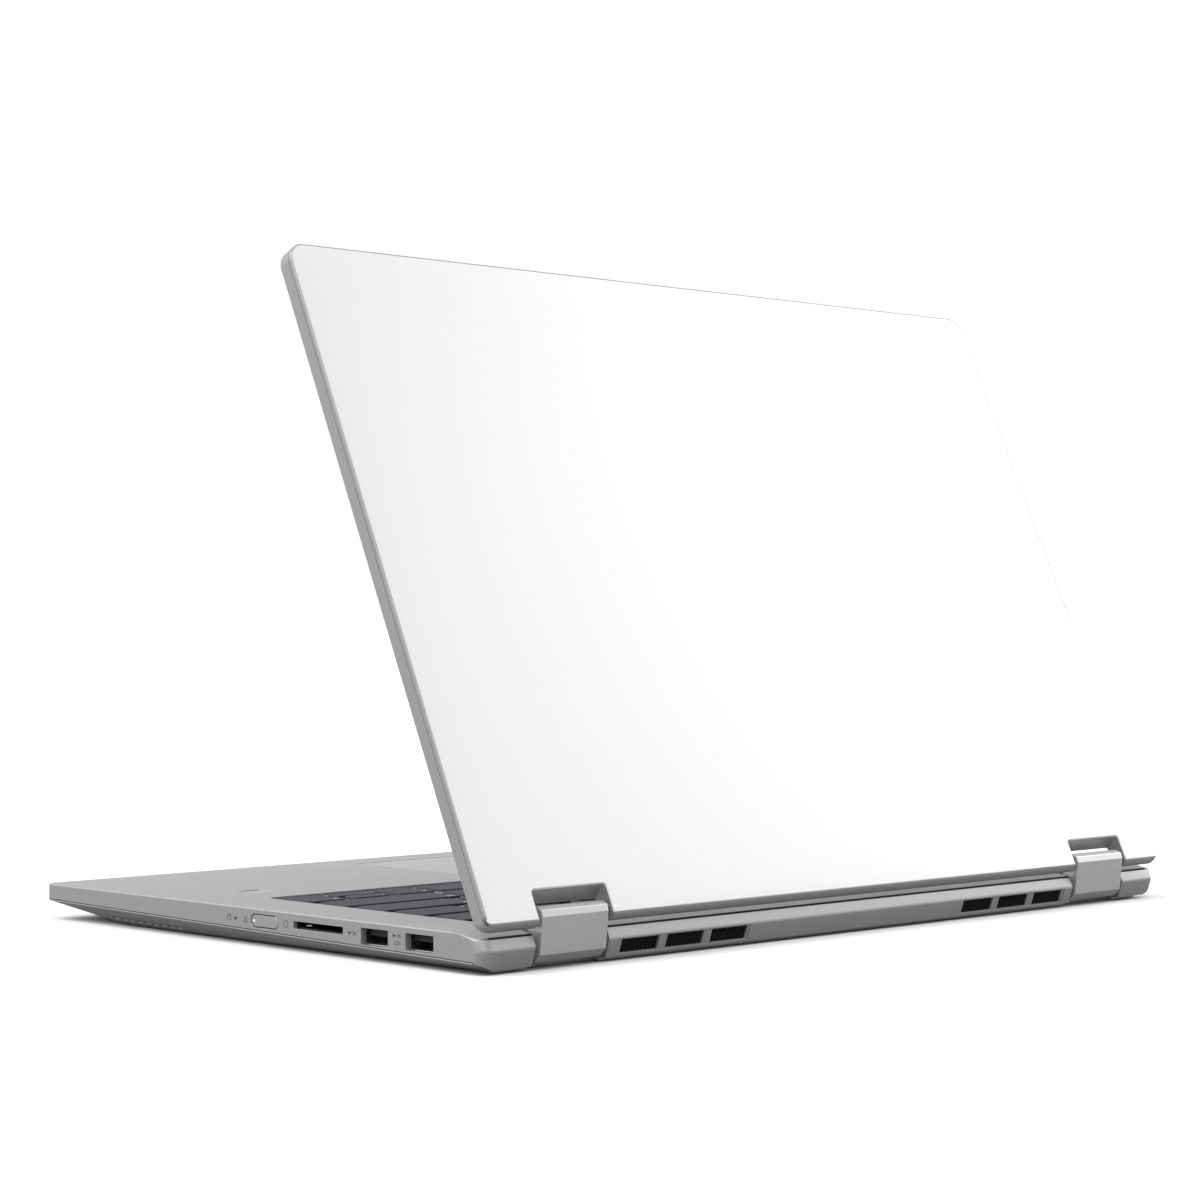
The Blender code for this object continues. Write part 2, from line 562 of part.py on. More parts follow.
def make_cooling():
    cx, cy = FAN_CENTRE
    x0, y0, x1, y1 = FAN_HOUSING
    z0, z1 = FAN_Z
    housing = box("fan_housing", (x0, y0, z0), (x1, y1, z1), BLACK, radius=4)
    chamber = rods("fan_chamber", [((cx, cy, z0 + 0.5), (cx, cy, z1 - 0.5))], FAN_RADIUS + 2, sides=32)
    inlet = rods("fan_inlets", [((cx, cy, z1 - 1), (cx, cy, z1 + 1))], 12.5, sides=24)
    ring = rods("fan_lower_inlet", [((cx, cy, z0 - 1), (cx, cy, z0 + 0.9))], 12.5, sides=24)
    spider = rods("fan_spider", [((cx, cy, z0), (cx, cy, z0 + 0.5))], 5.0, sides=16)
    arms = [((cx - 20, cy - 1.2, z0), (cx + 20, cy + 1.2, z0 + 0.5))]
    outlet = box("fan_outlet", (x0 + 2, cy + 8, z0 + 0.6), (x1 - 2, y1 + 2, z1 - 0.6))
    post = rods("fan_post", [((cx, cy, z0 + 0.2), (cx, cy, z0 + 2.2))], 0.8, sides=12)
    cut(housing, chamber, outlet, inlet, ring)
    join(housing, boxes("fan_arm", arms), spider, post)

    rotor = rods("fan_rotor", [((cx, cy, z0 + 0.9), (cx, cy, z1 - 0.8))], 8.0, POLYMER, sides=20)
    blade = [((cx + 6.5, cy - 0.25, z0 + 1.0), (cx + FAN_RADIUS, cy + 0.25, z1 - 0.9))]
    for index in range(11):
        vane = boxes(f"fan_blade_{index}", blade)
        turn = Matrix.Rotation(2 * math.pi * index / 11, 4, "Z")
        centre = Matrix.Translation(Vector((cx, cy, 0)) * MM)
        vane.data.transform(centre @ turn @ centre.inverted())
        join(rotor, vane)
    cut(rotor, rods("rotor_bore", [((cx, cy, z0 + 0.5), (cx, cy, z0 + 2.6))], 1.1, sides=12))
    set_origin(rotor, (cx, cy, (z0 + z1) / 2))

    fins = box("fin_stack", (58, 94.5, 3.0), (104, 101.5, 5.2), COPPER)
    slits = [((60 + 3.4 * i, 93, 3.6), (61.6 + 3.4 * i, 103, 7)) for i in range(13)]
    cut(fins, boxes("fin_slits", slits))
    make_heat_pipe()


def make_heat_pipe():
    """A round pipe bent in its plane, then pressed flat."""
    radius, height, middle_z = 3.4, 1.1, 6.1
    route = [(-12, 64), (10, 68), (30, 80), (44, 94), (56, 98), (76, 98), (103, 98)]
    curve = bpy.data.curves.new("heat_pipe_route", "CURVE")
    curve.dimensions = "3D"
    curve.bevel_depth = radius * MM
    curve.bevel_resolution = 2
    curve.use_fill_caps = True
    spline = curve.splines.new("POLY")
    spline.points.add(len(route) - 1)
    for point, (x, y) in zip(spline.points, route):
        point.co = (x * MM, y * MM, 0.0, 1.0)
    drawn = bpy.data.objects.new("heat_pipe_drawn", curve)
    CUTTERS.objects.link(drawn)
    bpy.context.view_layer.update()
    mesh = bpy.data.meshes.new_from_object(drawn.evaluated_get(bpy.context.evaluated_depsgraph_get()))
    bpy.data.objects.remove(drawn)
    bpy.data.curves.remove(curve)
    bm = bmesh.new()
    bm.from_mesh(mesh)
    bpy.data.meshes.remove(mesh)
    bmesh.ops.remove_doubles(bm, verts=bm.verts, dist=1e-6)
    flatten = Matrix.Diagonal((1, 1, height / 2 / radius, 1))
    bmesh.ops.transform(bm, matrix=Matrix.Translation((0, 0, middle_z * MM)) @ flatten, verts=bm.verts)
    bmesh.ops.recalc_face_normals(bm, faces=bm.faces)
    place("heat_pipe", mesh_of("heat_pipe", bm), COPPER, None)


# ------------------------------------------------------------------ hinges
def make_hinges(link_pivot, lid_pivot):
    cover_outline = [(106.0, 18.2), (108.75, 18.4), (110.65, 17.55), (111.25, 15.6), (110.1, 4.5),
                     (107.6, 2.0), (105.2, 2.0), (104.2, 3.6), (104.2, 6.2), (105.1, 17.3)]
    for word, side in SIDES:
        span = sorted(side * x for x in HINGE_X)
        inner = sorted(side * x for x in (HINGE_X[0] + 1.4, HINGE_X[1] - 1.4))
        core_span = sorted(side * x for x in (HINGE_X[0] + 1.8, HINGE_X[1] - 1.8))
        cover = outline("hinge_cover_" + word, cover_outline, *span, HINGE_SILVER, plane="yz")
        cavity = outline("hinge_cavity_" + word, capsule(CORE_RADIUS + GAP), *inner, plane="yz")
        reach = [side * (HINGE_X[0] - 2), side * (HINGE_X[0] + 4)]
        doors = rods("hinge_doors_" + word, [((reach[0], *axis), (reach[1], *axis))
                                            for axis in (UPPER_AXIS, LOWER_AXIS)], 1.6)
        cut(cover, cavity, doors)
        core = outline("hinge_core_" + word, capsule(CORE_RADIUS), *core_span, STEEL, plane="yz")
        far = [side * (HINGE_X[0] - 2), side * 136]
        bores = rods("core_bores_" + word, [((far[0], *axis), (far[1], *axis))
                                            for axis in (UPPER_AXIS, LOWER_AXIS)], BORE_RADIUS)
        cut(core, bores)
        for piece in (cover, core):
            set_origin(piece, (0, *LOWER_AXIS))
            piece.location = (0, 0, 0)
            piece.parent = link_pivot

        arm = rods("base_hinge_arm_" + word, [((side * 109.3, *LOWER_AXIS), (side * 134, *LOWER_AXIS))],
                   SHAFT_RADIUS, STEEL)
        web = boxes("base_arm_web_" + word, [mirrored((109.0, 94.0, 3.2), (111.7, 105.2, 7.0), side)])
        eye = boxes("base_arm_eye_" + word, [mirrored((109.0, 104.9, 5.0), (111.7, 108.2, 7.2), side)])
        pad = boxes("base_arm_pad_" + word, [mirrored((109.0, 62.0, 3.2), (140.0, 96.0, 4.4), side)])
        join(arm, web, eye, pad)

        lid_arm = rods("lid_hinge_arm_" + word, [((side * 100.0, 0, 0), (side * 134, 0, 0))],
                       SHAFT_RADIUS, STEEL, lid_pivot)
        plate = boxes("lid_arm_plate_" + word, [mirrored((86.0, -9.8, -1.3), (110.8, 0.9, 0.1), side)],
                      parent=lid_pivot)
        join(lid_arm, plate)


# ------------------------------------------------------------------ lid
def lid_cutouts(name, pivot):
    bm = bmesh.new()
    for _, side in SIDES:
        low, high = mirrored((LID_CUT_X[0], LID_CUT_Y, -6), (LID_CUT_X[1], 9.0, 6), side)
        add_box(bm, low, high)
    edges = [e for e in bm.edges if abs(e.verts[0].co.z - e.verts[1].co.z) > 1e-3
             and e.verts[0].co.y < 0]
    bmesh.ops.bevel(bm, geom=edges, offset=1.2 * MM, segments=2, profile=0.5, affect="EDGES")
    for vert in bm.verts:
        if vert.co.y < 0:
            vert.co.y += LID_CUT_SLOPE * (LID_HALF_THICKNESS * MM - vert.co.z)
    return place(name, mesh_of(name, bm), None, pivot)


def lid_plan(wide, far_y, end_y, far_radius):
    """The lid's outline: corners of far_radius at its far edge, and smaller ones at the hinge end."""
    points = []
    for x, y, radius, start in ((wide, end_y, LID_END_RADIUS, 0), (-wide, end_y, LID_END_RADIUS, 90),
                                (-wide, far_y, far_radius, 180), (wide, far_y, far_radius, 270)):
        cx = x - math.copysign(radius, x)
        cy = y - radius if y == end_y else y + radius
        for step in range(4):
            angle = math.radians(start + 30 * step)
            points.append((cx + radius * math.cos(angle), cy + radius * math.sin(angle)))
    return points


def make_lid(pivot):
    thick, far, wide = LID_HALF_THICKNESS, LID_FAR_Y, LID_HALF_WIDTH
    frame_top = LID_SEAM_Z - GAP / 2
    section = [(-232, -thick), (0.8, -thick), (2.1, -2.1), (thick, -0.6), (thick, 0.9), (2.5, 2.2),
               (1.8, thick), (1.8, frame_top), (-232, frame_top)]
    frame = outline("lid_frame", section, -172, 172, SILVER, pivot, plane="yz")
    plan = lid_plan(wide, far, thick, LID_CORNER_RADIUS)
    keep_inside(frame, outline("lid_frame_plan", plan, -9, 9, None, pivot))
    wide_glass = 161.6
    cut(frame,
        box("display_opening", (-DISPLAY_HALF_WIDTH - GAP, -213.0, -9), (DISPLAY_HALF_WIDTH + GAP, -18.0, 9),
            None, pivot),
        box("glass_recess", (-wide_glass - GAP, -218.3, -6), (wide_glass + GAP, -11.0, GLASS_BACK_Z + GAP),
            None, pivot, radius=5.0),
        lid_cutouts("frame_cutouts", pivot),
        boxes("arm_pockets", [mirrored((84, -11.0, -1.7), (111.6, 1.5, 8.0), side) for _, side in SIDES],
              None, pivot),
        rods("upper_shaft_bores", [((s * 110, 0, 0), (s * 116, 0, 0)) for _, s in SIDES], BORE_RADIUS, None,
             pivot),
        box("webcam_pocket", (-32, -218.2, GLASS_BACK_Z), (32, -212.0, 8), None, pivot))

    cover_low = LID_SEAM_Z + GAP / 2
    end_y = LID_COVER_EDGE_Y
    cover_plan = lid_plan(wide, far, end_y, LID_CORNER_RADIUS)
    cover = outline("lid_cover", cover_plan, cover_low, thick, SILVER, pivot)
    cut(cover,
        box("panel_pocket", (-162.9, far + 0.7, PANEL_POCKET_Z), (162.9, 12, 9), None, pivot, 5.8),
        lid_cutouts("cover_cutouts", pivot))

    margin = 1.0
    panel_plan = lid_plan(wide - margin, far + margin, end_y, LID_CORNER_RADIUS - margin)
    panel = outline("lid_outer_panel", panel_plan, PANEL_POCKET_Z + GAP, thick, WHITE, pivot)
    cut(panel, lid_cutouts("panel_cutouts", pivot))

    box("screen_glass", (-wide_glass, -218.0, -thick), (wide_glass, -11.3, GLASS_BACK_Z), GLASS, pivot, 4.7)
    box("display_panel", (-DISPLAY_HALF_WIDTH, DISPLAY_Y[0], GLASS_BACK_Z + GAP),
        (DISPLAY_HALF_WIDTH, DISPLAY_Y[1], 0.95), BLACK, pivot)
    webcam = box("webcam_module", (-30, -217.8, -1.2), (30, -213.6, 0.9), BLACK, pivot)
    join(webcam, rods("webcam_lens", [((0, -215.7, GLASS_BACK_Z + GAP), (0, -215.7, 0))], 1.6, None, pivot))


# ------------------------------------------------------------------ assembly
clear_scene()
PARTS = new_collection("laptop_computer")
CUTTERS = new_collection("laptop_cutters")

SILVER = material("silver_shell", (0.42, 0.42, 0.43), 0.45, 0.6)
HINGE_SILVER = material("hinge_silver", (0.50, 0.50, 0.51), 0.35, 0.6)
BELLY = material("grey_underside", (0.30, 0.30, 0.31), 0.6, 0.2)
WHITE = material("white_panel", (0.85, 0.85, 0.86), 0.35)
SATIN = material("satin_silver", (0.45, 0.45, 0.46), 0.35, 0.5)
SLATE = material("slate_key", (0.09, 0.09, 0.11), 0.5)
RUBBER = material("black_rubber", (0.03, 0.03, 0.03), 0.8)
BLACK = material("black_plastic", (0.03, 0.03, 0.035), 0.5)
POLYMER = material("fan_polymer", (0.05, 0.05, 0.05), 0.4)
STEEL = material("steel", (0.55, 0.55, 0.56), 0.3, 1.0)
COPPER = material("copper", (0.70, 0.35, 0.20), 0.35, 1.0)
GREEN = material("circuit_board", (0.03, 0.16, 0.08), 0.5)
GLASS = material("screen_glass", (0.02, 0.02, 0.025), 0.05)

LINK_PIVOT = empty("hinge_link_pivot", (0, *LOWER_AXIS))
LID_PIVOT = empty("lid_pivot", (0, *UPPER_AXIS), (-math.radians(OPEN_ANGLE), 0, 0))

make_top_case()
make_bottom_cover()
make_feet()
make_ports()
make_controls()
make_keys()
make_internals()
make_cooling()
make_hinges(LINK_PIVOT, LID_PIVOT)
make_lid(LID_PIVOT)
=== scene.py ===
"""Looks of the two-in-one laptop computer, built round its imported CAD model.

Sizes in the drawing functions are millimetres, which the helpers turn into metres.
Pieces of the lid are drawn closed, in a frame on the lid's hinge axis, and LID places them.
"""
import json
import math

import bmesh
import bpy
from mathutils import Matrix, Vector


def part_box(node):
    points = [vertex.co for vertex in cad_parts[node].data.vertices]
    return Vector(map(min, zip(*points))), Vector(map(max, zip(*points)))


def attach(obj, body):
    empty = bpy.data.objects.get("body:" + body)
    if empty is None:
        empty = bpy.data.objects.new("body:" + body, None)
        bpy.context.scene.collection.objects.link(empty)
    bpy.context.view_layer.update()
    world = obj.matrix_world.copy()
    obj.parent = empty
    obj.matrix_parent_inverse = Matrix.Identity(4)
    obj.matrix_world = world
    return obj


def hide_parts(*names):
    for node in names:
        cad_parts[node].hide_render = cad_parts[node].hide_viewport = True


MM = 0.001

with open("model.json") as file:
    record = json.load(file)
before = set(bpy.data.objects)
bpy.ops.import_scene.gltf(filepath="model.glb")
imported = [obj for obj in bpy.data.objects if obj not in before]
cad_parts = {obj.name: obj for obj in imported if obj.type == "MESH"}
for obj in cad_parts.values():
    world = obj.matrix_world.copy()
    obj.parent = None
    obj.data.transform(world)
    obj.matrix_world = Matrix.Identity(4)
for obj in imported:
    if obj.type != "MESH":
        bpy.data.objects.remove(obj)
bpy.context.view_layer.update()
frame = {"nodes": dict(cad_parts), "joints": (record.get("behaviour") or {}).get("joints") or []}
NODES = frame["nodes"]
JOINTS = {joint["name"]: joint for joint in frame["joints"]}


def node_box(name):
    """A CAD node's lowest and highest corners, in millimetres."""
    low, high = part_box(name)
    return low / MM, high / MM


def joint_point(name):
    return Vector(JOINTS[name]["pos_m"]) / MM


# ---- places read from the frame
CASE_LOW, CASE_HIGH = node_box("top_case")
HALF_WIDTH, FRONT_Y, DECK_Z = CASE_HIGH.x, CASE_LOW.y, CASE_HIGH.z
BELLY_Z = node_box("bottom_cover")[0].z
UPPER_AXIS, LOWER_AXIS = joint_point("lid_hinge"), joint_point("base_hinge")
CLOSED_ANGLE = math.radians(JOINTS["lid_hinge"]["range_deg"][0])
LID = Matrix.Translation(UPPER_AXIS * MM) @ Matrix.Rotation(CLOSED_ANGLE, 4, "X")
HINGE_X = (node_box("hinge_cover_right")[0].x, node_box("hinge_cover_right")[1].x)

# ---- base, as in the CAD model
GAP = 0.3
WALL = 1.6
CORNER_RADIUS = 4.0
EDGE = 0.45                    # rounding of the deck's outer edge
FLOOR = 1.4
BELLY_HALF_WIDTH, BELLY_FRONT_Y, BELLY_REAR_Y = 156.5, -81.0, 118.0
PAN_REAR_Y, PAN_REACH = 118.0, 0.4
REAR_LIP_Z = (0.35, 1.0)       # strip of the bottom cover below the rear wall
PARTING_FRONT_Z, PARTING_SLOPE = 6.94, -0.0143
REAR_INNER_Y, REAR_TOP_Z = 105.8, 9.3
NOTCH_X, NOTCH_FRONT_Y = (113.8, 143.5), 102.3
REAR_PROFILE = [(108.13, 1.3), (110.0, 7.0), (108.7, 10.5), (104.0, 11.4), (98.0, 12.0)]
SIDES = (("right", 1), ("left", -1))

# ---- lid, in its own closed frame
LID_HALF_WIDTH, LID_FAR_Y, LID_HALF_THICKNESS = 163.6, -219.95, 2.95
LID_FAR_RADIUS, LID_NEAR_RADIUS, PANEL_NEAR_RADIUS = 6.5, 3.0, 1.4
LID_SEAM = (1.36, 1.44)        # gap between the frame and the outer cover
LID_END_Y = 1.4                # cover and panel end here
LID_END_ROUNDING = 1.6         # exponent of the hinge end's curve
LID_CUT_X, LID_CUT_Y = (113.4, 143.6), -7.75
LID_CUT_SLOPE = 2.5 / 5.9      # their far wall leans towards the hinge
PANEL_BASE_Z = 2.5
PANEL_MARGIN = 0.42            # silver rim round the white panel
PANEL_CROWN, CROWN_REACH = 0.17, 5.0
GLASS_HALF_WIDTH, GLASS_Y, GLASS_BACK_Z = 161.6, (-218.0, -11.3), -2.25
SCREEN_HALF_WIDTH, SCREEN_Y = 154.6, (-208.0, -34.0)

# ---- keyboard
KEY_INSET, KEY_HOLE_INSET, LATTICE_Z, KEY_TOP_Z = 1.4, 1.05, 11.15, 11.9
KEY_DISH = 0.16
KEY_LEGENDS = {
    "keys_function_row": "Esc F1 F2 F3 F4 F5 F6 F7 F8 F9 F10 F11 F12 Ins Del",
    "keys_number_row": "` 1 2 3 4 5 6 7 8 9 0 - =",
    "key_backspace": "Backspace",
    "key_tab": "Tab",
    "keys_upper_row": "Q W E R T Y U I O P [ ] \\",
    "key_caps_lock": "CapsLock",
    "keys_home_row": "A S D F G H J K L ; '",
    "key_enter": "Enter",
    "key_shift_left": "Shift",
    "keys_lower_row": "Z X C V B N M , . /",
    "key_shift_right": "Shift",
    "keys_modifiers_left": "Ctrl Fn Sys Alt",
    "key_space": "",
    "keys_modifiers_right": "Alt Ctrl",
    "key_arrow_left": "<",
    "key_arrow_right": ">",
    "key_arrow_down": "v",
    "key_arrow_up": "^",
}
# widths in units of the keys in a row, where they aren't all one unit
KEY_WIDTHS = {
    "keys_upper_row": [1.0] * 12 + [1.5],
    "keys_modifiers_left": [1.25, 1.0, 1.0, 1.0],
}

# ---- right side
CARD_Y, CARD_Z = (23.9, 47.6), (7.2, 9.5)
USB_HALF_LENGTH, USB_Z = 6.2, (4.95, 10.0)
USB_Y = {"usb_a_port_front": 62.2, "usb_a_port_rear": 82.5}
# ---- left side
HDMI_Y, HDMI_Z = (58.5, 73.5), (5.4, 9.6)
USB_C_Y, USB_C_Z = (41.5, 50.5), (6.0, 9.0)
POWER_JACK, POWER_JACK_RADIUS = (86.0, 7.2), 2.3
AUDIO_JACK, AUDIO_JACK_RADIUS = (29.0, 7.5), 1.9
# ---- rear vents
VENT_FIRST_X, VENT_WIDTH, VENT_PITCH, VENT_COUNT = 53.4, 16.0, 19.4, 3
VENT_Z = (2.4, 6.5)
VENT_RECESS = 0.7              # fins stand this far behind the rear wall's face
SHADE_STRIP_END_X = 159.5             # where the painted-shade strip in the groove over the rear wall ends

# ---- light: radiance of the sky, irradiance of key and fill over pi, and what the floor gives back
SKY_LEVEL, KEY_LEVEL, FILL_LEVEL, FLOOR_BOUNCE, SOFTBOX_WATTS = 0.72, 0.27, 0.76, 0.26, 30.0


# ------------------------------------------------------------------ materials
def principled(name, colour, roughness, metallic=0.0, **sockets):
    """A Principled material; sockets are further shader inputs by name, with _ for a space."""
    mat = bpy.data.materials.new(name)
    mat.use_nodes = True
    shader = mat.node_tree.nodes["Principled BSDF"]
    shader.inputs["Base Color"].default_value = (*colour, 1.0)
    shader.inputs["Roughness"].default_value = roughness
    shader.inputs["Metallic"].default_value = metallic
    for socket, value in sockets.items():
        shader.inputs[socket.replace("_", " ")].default_value = value
    mat.diffuse_color = (*colour, 1.0)
    return mat


def node(mat, kind, **inputs):
    made = mat.node_tree.nodes.new(kind)
    for socket, value in inputs.items():
        made.inputs[socket.replace("_", " ")].default_value = value
    return made


def link(mat, source, socket, target, target_socket):
    mat.node_tree.links.new(source.outputs[socket], target.inputs[target_socket])


def object_noise(mat, scale, detail=2.0, stretch=(1.0, 1.0, 1.0)):
    """Noise fixed to the object; scale counts features in a metre."""
    place = node(mat, "ShaderNodeTexCoord")
    mapping = node(mat, "ShaderNodeMapping", Scale=stretch)
    noise = node(mat, "ShaderNodeTexNoise", Scale=scale, Detail=detail)
    link(mat, place, "Object", mapping, "Vector")
    link(mat, mapping, "Vector", noise, "Vector")
    return noise


def vary_colour(mat, noise, spread):
    """Base colour runs a little darker and lighter with the noise."""
    shader = mat.node_tree.nodes["Principled BSDF"]
    colour = shader.inputs["Base Color"].default_value[:3]
    ramp = node(mat, "ShaderNodeValToRGB")
    for element, place, gain in zip(ramp.color_ramp.elements, (0.3, 0.7), (1 - spread, 1 + spread)):
        element.position = place
        element.color = (*(min(1.0, c * gain) for c in colour), 1.0)
    link(mat, noise, "Fac", ramp, "Fac")
    link(mat, ramp, "Color", shader, "Base Color")


def vary_roughness(mat, noise, low, high):
    shader = mat.node_tree.nodes["Principled BSDF"]
    span = node(mat, "ShaderNodeMapRange", To_Min=low, To_Max=high)
    link(mat, noise, "Fac", span, "Value")
    link(mat, span, "Result", shader, "Roughness")


def add_bump(mat, noise, strength, depth):
    """Surface relief of the given depth in metres."""
    bump = node(mat, "ShaderNodeBump", Strength=strength, Distance=depth)
    link(mat, noise, "Fac", bump, "Height")
    link(mat, bump, "Normal", mat.node_tree.nodes["Principled BSDF"], "Normal")


def textured(name, colour, roughness, metallic, grain, spread, depth, **sockets):
    """The usual finish: fine grain in colour, gloss and relief."""
    mat = principled(name, colour, roughness, metallic, **sockets)
    noise = object_noise(mat, grain)
    vary_colour(mat, noise, spread)
    vary_roughness(mat, noise, roughness - 0.06, roughness + 0.06)
    add_bump(mat, noise, 0.35, depth)
    return mat


def brushed_metal():
    mat = principled("stamped_steel", (0.60, 0.60, 0.61), 0.28, 1.0)
    noise = object_noise(mat, 900, 3.0, (1.0, 9.0, 9.0))
    vary_colour(mat, noise, 0.08)
    vary_roughness(mat, noise, 0.20, 0.38)
    return mat


def circuit_board():
    """Green solder mask with lighter tracks."""
    mat = principled("solder_mask", (0.02, 0.15, 0.07), 0.35)
    shader = mat.node_tree.nodes["Principled BSDF"]
    place = node(mat, "ShaderNodeTexCoord")
    bricks = node(mat, "ShaderNodeTexBrick", Scale=220.0, Mortar_Size=0.03, Color1=(0.02, 0.14, 0.06, 1),
                  Color2=(0.015, 0.11, 0.05, 1), Mortar=(0.10, 0.30, 0.12, 1))
    link(mat, place, "Object", bricks, "Vector")
    link(mat, bricks, "Color", shader, "Base Color")
    return mat


MATERIALS = {
    "silver": textured("silver_paint", (0.37, 0.37, 0.375), 0.42, 0.45, 2600, 0.04, 0.00002),
    "hinge": textured("hinge_paint", (0.55, 0.55, 0.555), 0.36, 0.5, 2600, 0.03, 0.00001),
    "belly": textured("underside_paint", (0.42, 0.42, 0.425), 0.5, 0.2, 1800, 0.06, 0.00003),
    "satin": textured("satin_aluminium", (0.44, 0.44, 0.445), 0.32, 0.55, 3200, 0.03, 0.00001),
    "white": textured("white_lacquer", (0.75, 0.75, 0.755), 0.3, 0.0, 3000, 0.006, 0.000004),
    "slate": textured("key_plastic", (0.036, 0.038, 0.050), 0.55, 0.0, 2400, 0.10, 0.00002,
                      Specular_IOR_Level=0.25),
    # the legend ink's emission is a painted glow that lightens the printed legends; the webcam lamp, a real lamp,
    # shares it
    "legend": textured("legend_ink_painted_glow", (0.80, 0.80, 0.82), 0.5, 0.0, 2400, 0.03, 0.000004,
                       Emission_Color=(1, 1, 1, 1), Emission_Strength=0.35),
    "mark": textured("printed_mark", (0.07, 0.07, 0.075), 0.5, 0.0, 2400, 0.05, 0.000004),
    "rubber": textured("foot_rubber", (0.022, 0.022, 0.024), 0.75, 0.0, 1600, 0.20, 0.00004),
    "black": textured("black_plastic", (0.020, 0.020, 0.022), 0.5, 0.0, 1800, 0.15, 0.00002),
    # near-black that paints shade: the inside of the vents, the groove at the rear, the gap round the power button and
    # the back of the USB ports
    "shade_black": textured("painted_shade_black", (0.006, 0.006, 0.007), 0.8, 0.0, 1800, 0.2, 0.00002),
    "gold": textured("contact_gold", (0.85, 0.62, 0.27), 0.25, 1.0, 1500, 0.06, 0.000004),
    "copper": textured("copper", (0.72, 0.36, 0.20), 0.3, 1.0, 900, 0.10, 0.00001),
    "glass": principled("screen_glass", (0.010, 0.010, 0.013), 0.06, 0.0, Coat_Weight=0.5, Coat_Roughness=0.04),
    "screen": principled("dark_screen", (0.018, 0.019, 0.026), 0.12, 0.0, Coat_Weight=0.6, Coat_Roughness=0.05),
    "lens": principled("lens_glass", (0.01, 0.012, 0.03), 0.03, 0.0, Coat_Weight=1.0, Coat_Roughness=0.02),
    "steel": brushed_metal(),
    "board": circuit_board(),
    "lamp": principled("white_lamp", (0.95, 0.96, 1.0), 0.3, 0.0, Emission_Color=(1, 1, 1, 1),
                       Emission_Strength=0.9),
}
vary_roughness(MATERIALS["glass"], object_noise(MATERIALS["glass"], 60), 0.05, 0.09)
vary_roughness(MATERIALS["screen"], object_noise(MATERIALS["screen"], 80), 0.10, 0.15)


# ------------------------------------------------------------------ shapes
AXES = {
    "x": Matrix(((0, 0, 1, 0), (1, 0, 0, 0), (0, 1, 0, 0), (0, 0, 0, 1))),
    "y": Matrix(((0, 1, 0, 0), (0, 0, 1, 0), (1, 0, 0, 0), (0, 0, 0, 1))),
    "z": Matrix.Identity(4),
}


def local(point, axis):
    """A point in the drawing frame whose third direction is the given axis."""
    x, y, z = point
    return {"x": (y, z, x), "y": (z, x, y), "z": (x, y, z)}[axis]


def solid(bm, turn=Matrix.Identity(4)):
    bm.transform(turn)
    mesh = bpy.data.meshes.new("shape")
    bm.to_mesh(mesh)
    bm.free()
    obj = bpy.data.objects.new("shape", mesh)
    bpy.context.scene.collection.objects.link(obj)
    return obj


def loft(rings, axis="z"):
    """A closed solid through rings of equally many points."""
    bm = bmesh.new()
    loops = [[bm.verts.new(Vector(point) * MM) for point in ring] for ring in rings]
    count = len(loops[0])
    for lower, upper in zip(loops, loops[1:]):
        for i in range(count):
            j = (i + 1) % count
            bm.faces.new((lower[i], lower[j], upper[j], upper[i]))
    bm.faces.new(loops[0][::-1])
    bm.faces.new(loops[-1])
    return solid(bm, AXES[axis])


def rounded(x0, y0, x1, y1, radius, near_radius=None, steps=5):
    """Points round a rectangle with arcs at its corners; near_radius is for the two at y0."""
    near = radius if near_radius is None else near_radius
    points = []
    for x, y, size, start in ((x1, y1, radius, 0), (x0, y1, radius, 90), (x0, y0, near, 180),
                              (x1, y0, near, 270)):
        cx = x - math.copysign(size, x - (x0 + x1) / 2)
        cy = y - math.copysign(size, y - (y0 + y1) / 2)
        for step in range(steps + 1):
            angle = math.radians(start + 90 * step / steps)
            points.append((cx + size * math.cos(angle), cy + size * math.sin(angle)))
    return points


def level(points, z):
    return [(x, y, z) for x, y in points]


def quarter(radius, steps=3):
    """A rounded edge, from the face it rounds: (depth below the face, inset from the side)."""
    angles = [math.pi / 2 * step / steps for step in range(steps + 1)]
    return [(radius * (1 - math.cos(a)), radius * (1 - math.sin(a))) for a in angles]


def slab(low, high, radius=0.3, edge=0.15, axis="z", steps=5):
    """A block with four rounded corners along one axis and softened ends."""
    u0, v0, w0 = local(low, axis)
    u1, v1, w1 = local(high, axis)
    ends = quarter(edge)
    heights = [(w0 + depth, inset) for depth, inset in ends]
    heights += [(w1 - depth, inset) for depth, inset in reversed(ends)]
    rings = []
    for w, inset in heights:
        ring_radius = max(radius - inset, 0.02)
        rings.append(level(rounded(u0 + inset, v0 + inset, u1 - inset, v1 - inset, ring_radius, steps=steps), w))
    return loft(rings, axis)


def pocket(low, high, mouth, radius=0.5, lip=0.2, axis="z", steps=5):
    """A cutter that passes the surface at mouth and rounds the edge that it leaves there."""
    u0, v0, w0 = local(low, axis)
    u1, v1, w1 = local(high, axis)
    upwards = abs(w1 - mouth) < abs(mouth - w0)
    deep, out, towards = (w0, w1, 1) if upwards else (w1, w0, -1)
    heights = [(deep, 0.0)]
    heights += [(mouth - towards * rise, grow) for grow, rise in quarter(lip)]
    heights.append((out, lip))
    rings = [level(rounded(u0 - grow, v0 - grow, u1 + grow, v1 + grow, radius + grow, steps=steps), w)
             for w, grow in heights]
    return loft(rings if upwards else rings[::-1], axis)


def prism(points, low, high, axis="z"):
    return loft([level(points, low), level(points, high)], axis)


def box(low, high):
    (x0, y0, z0), (x1, y1, z1) = low, high
    return prism([(x1, y1), (x0, y1), (x0, y0), (x1, y0)], z0, z1)


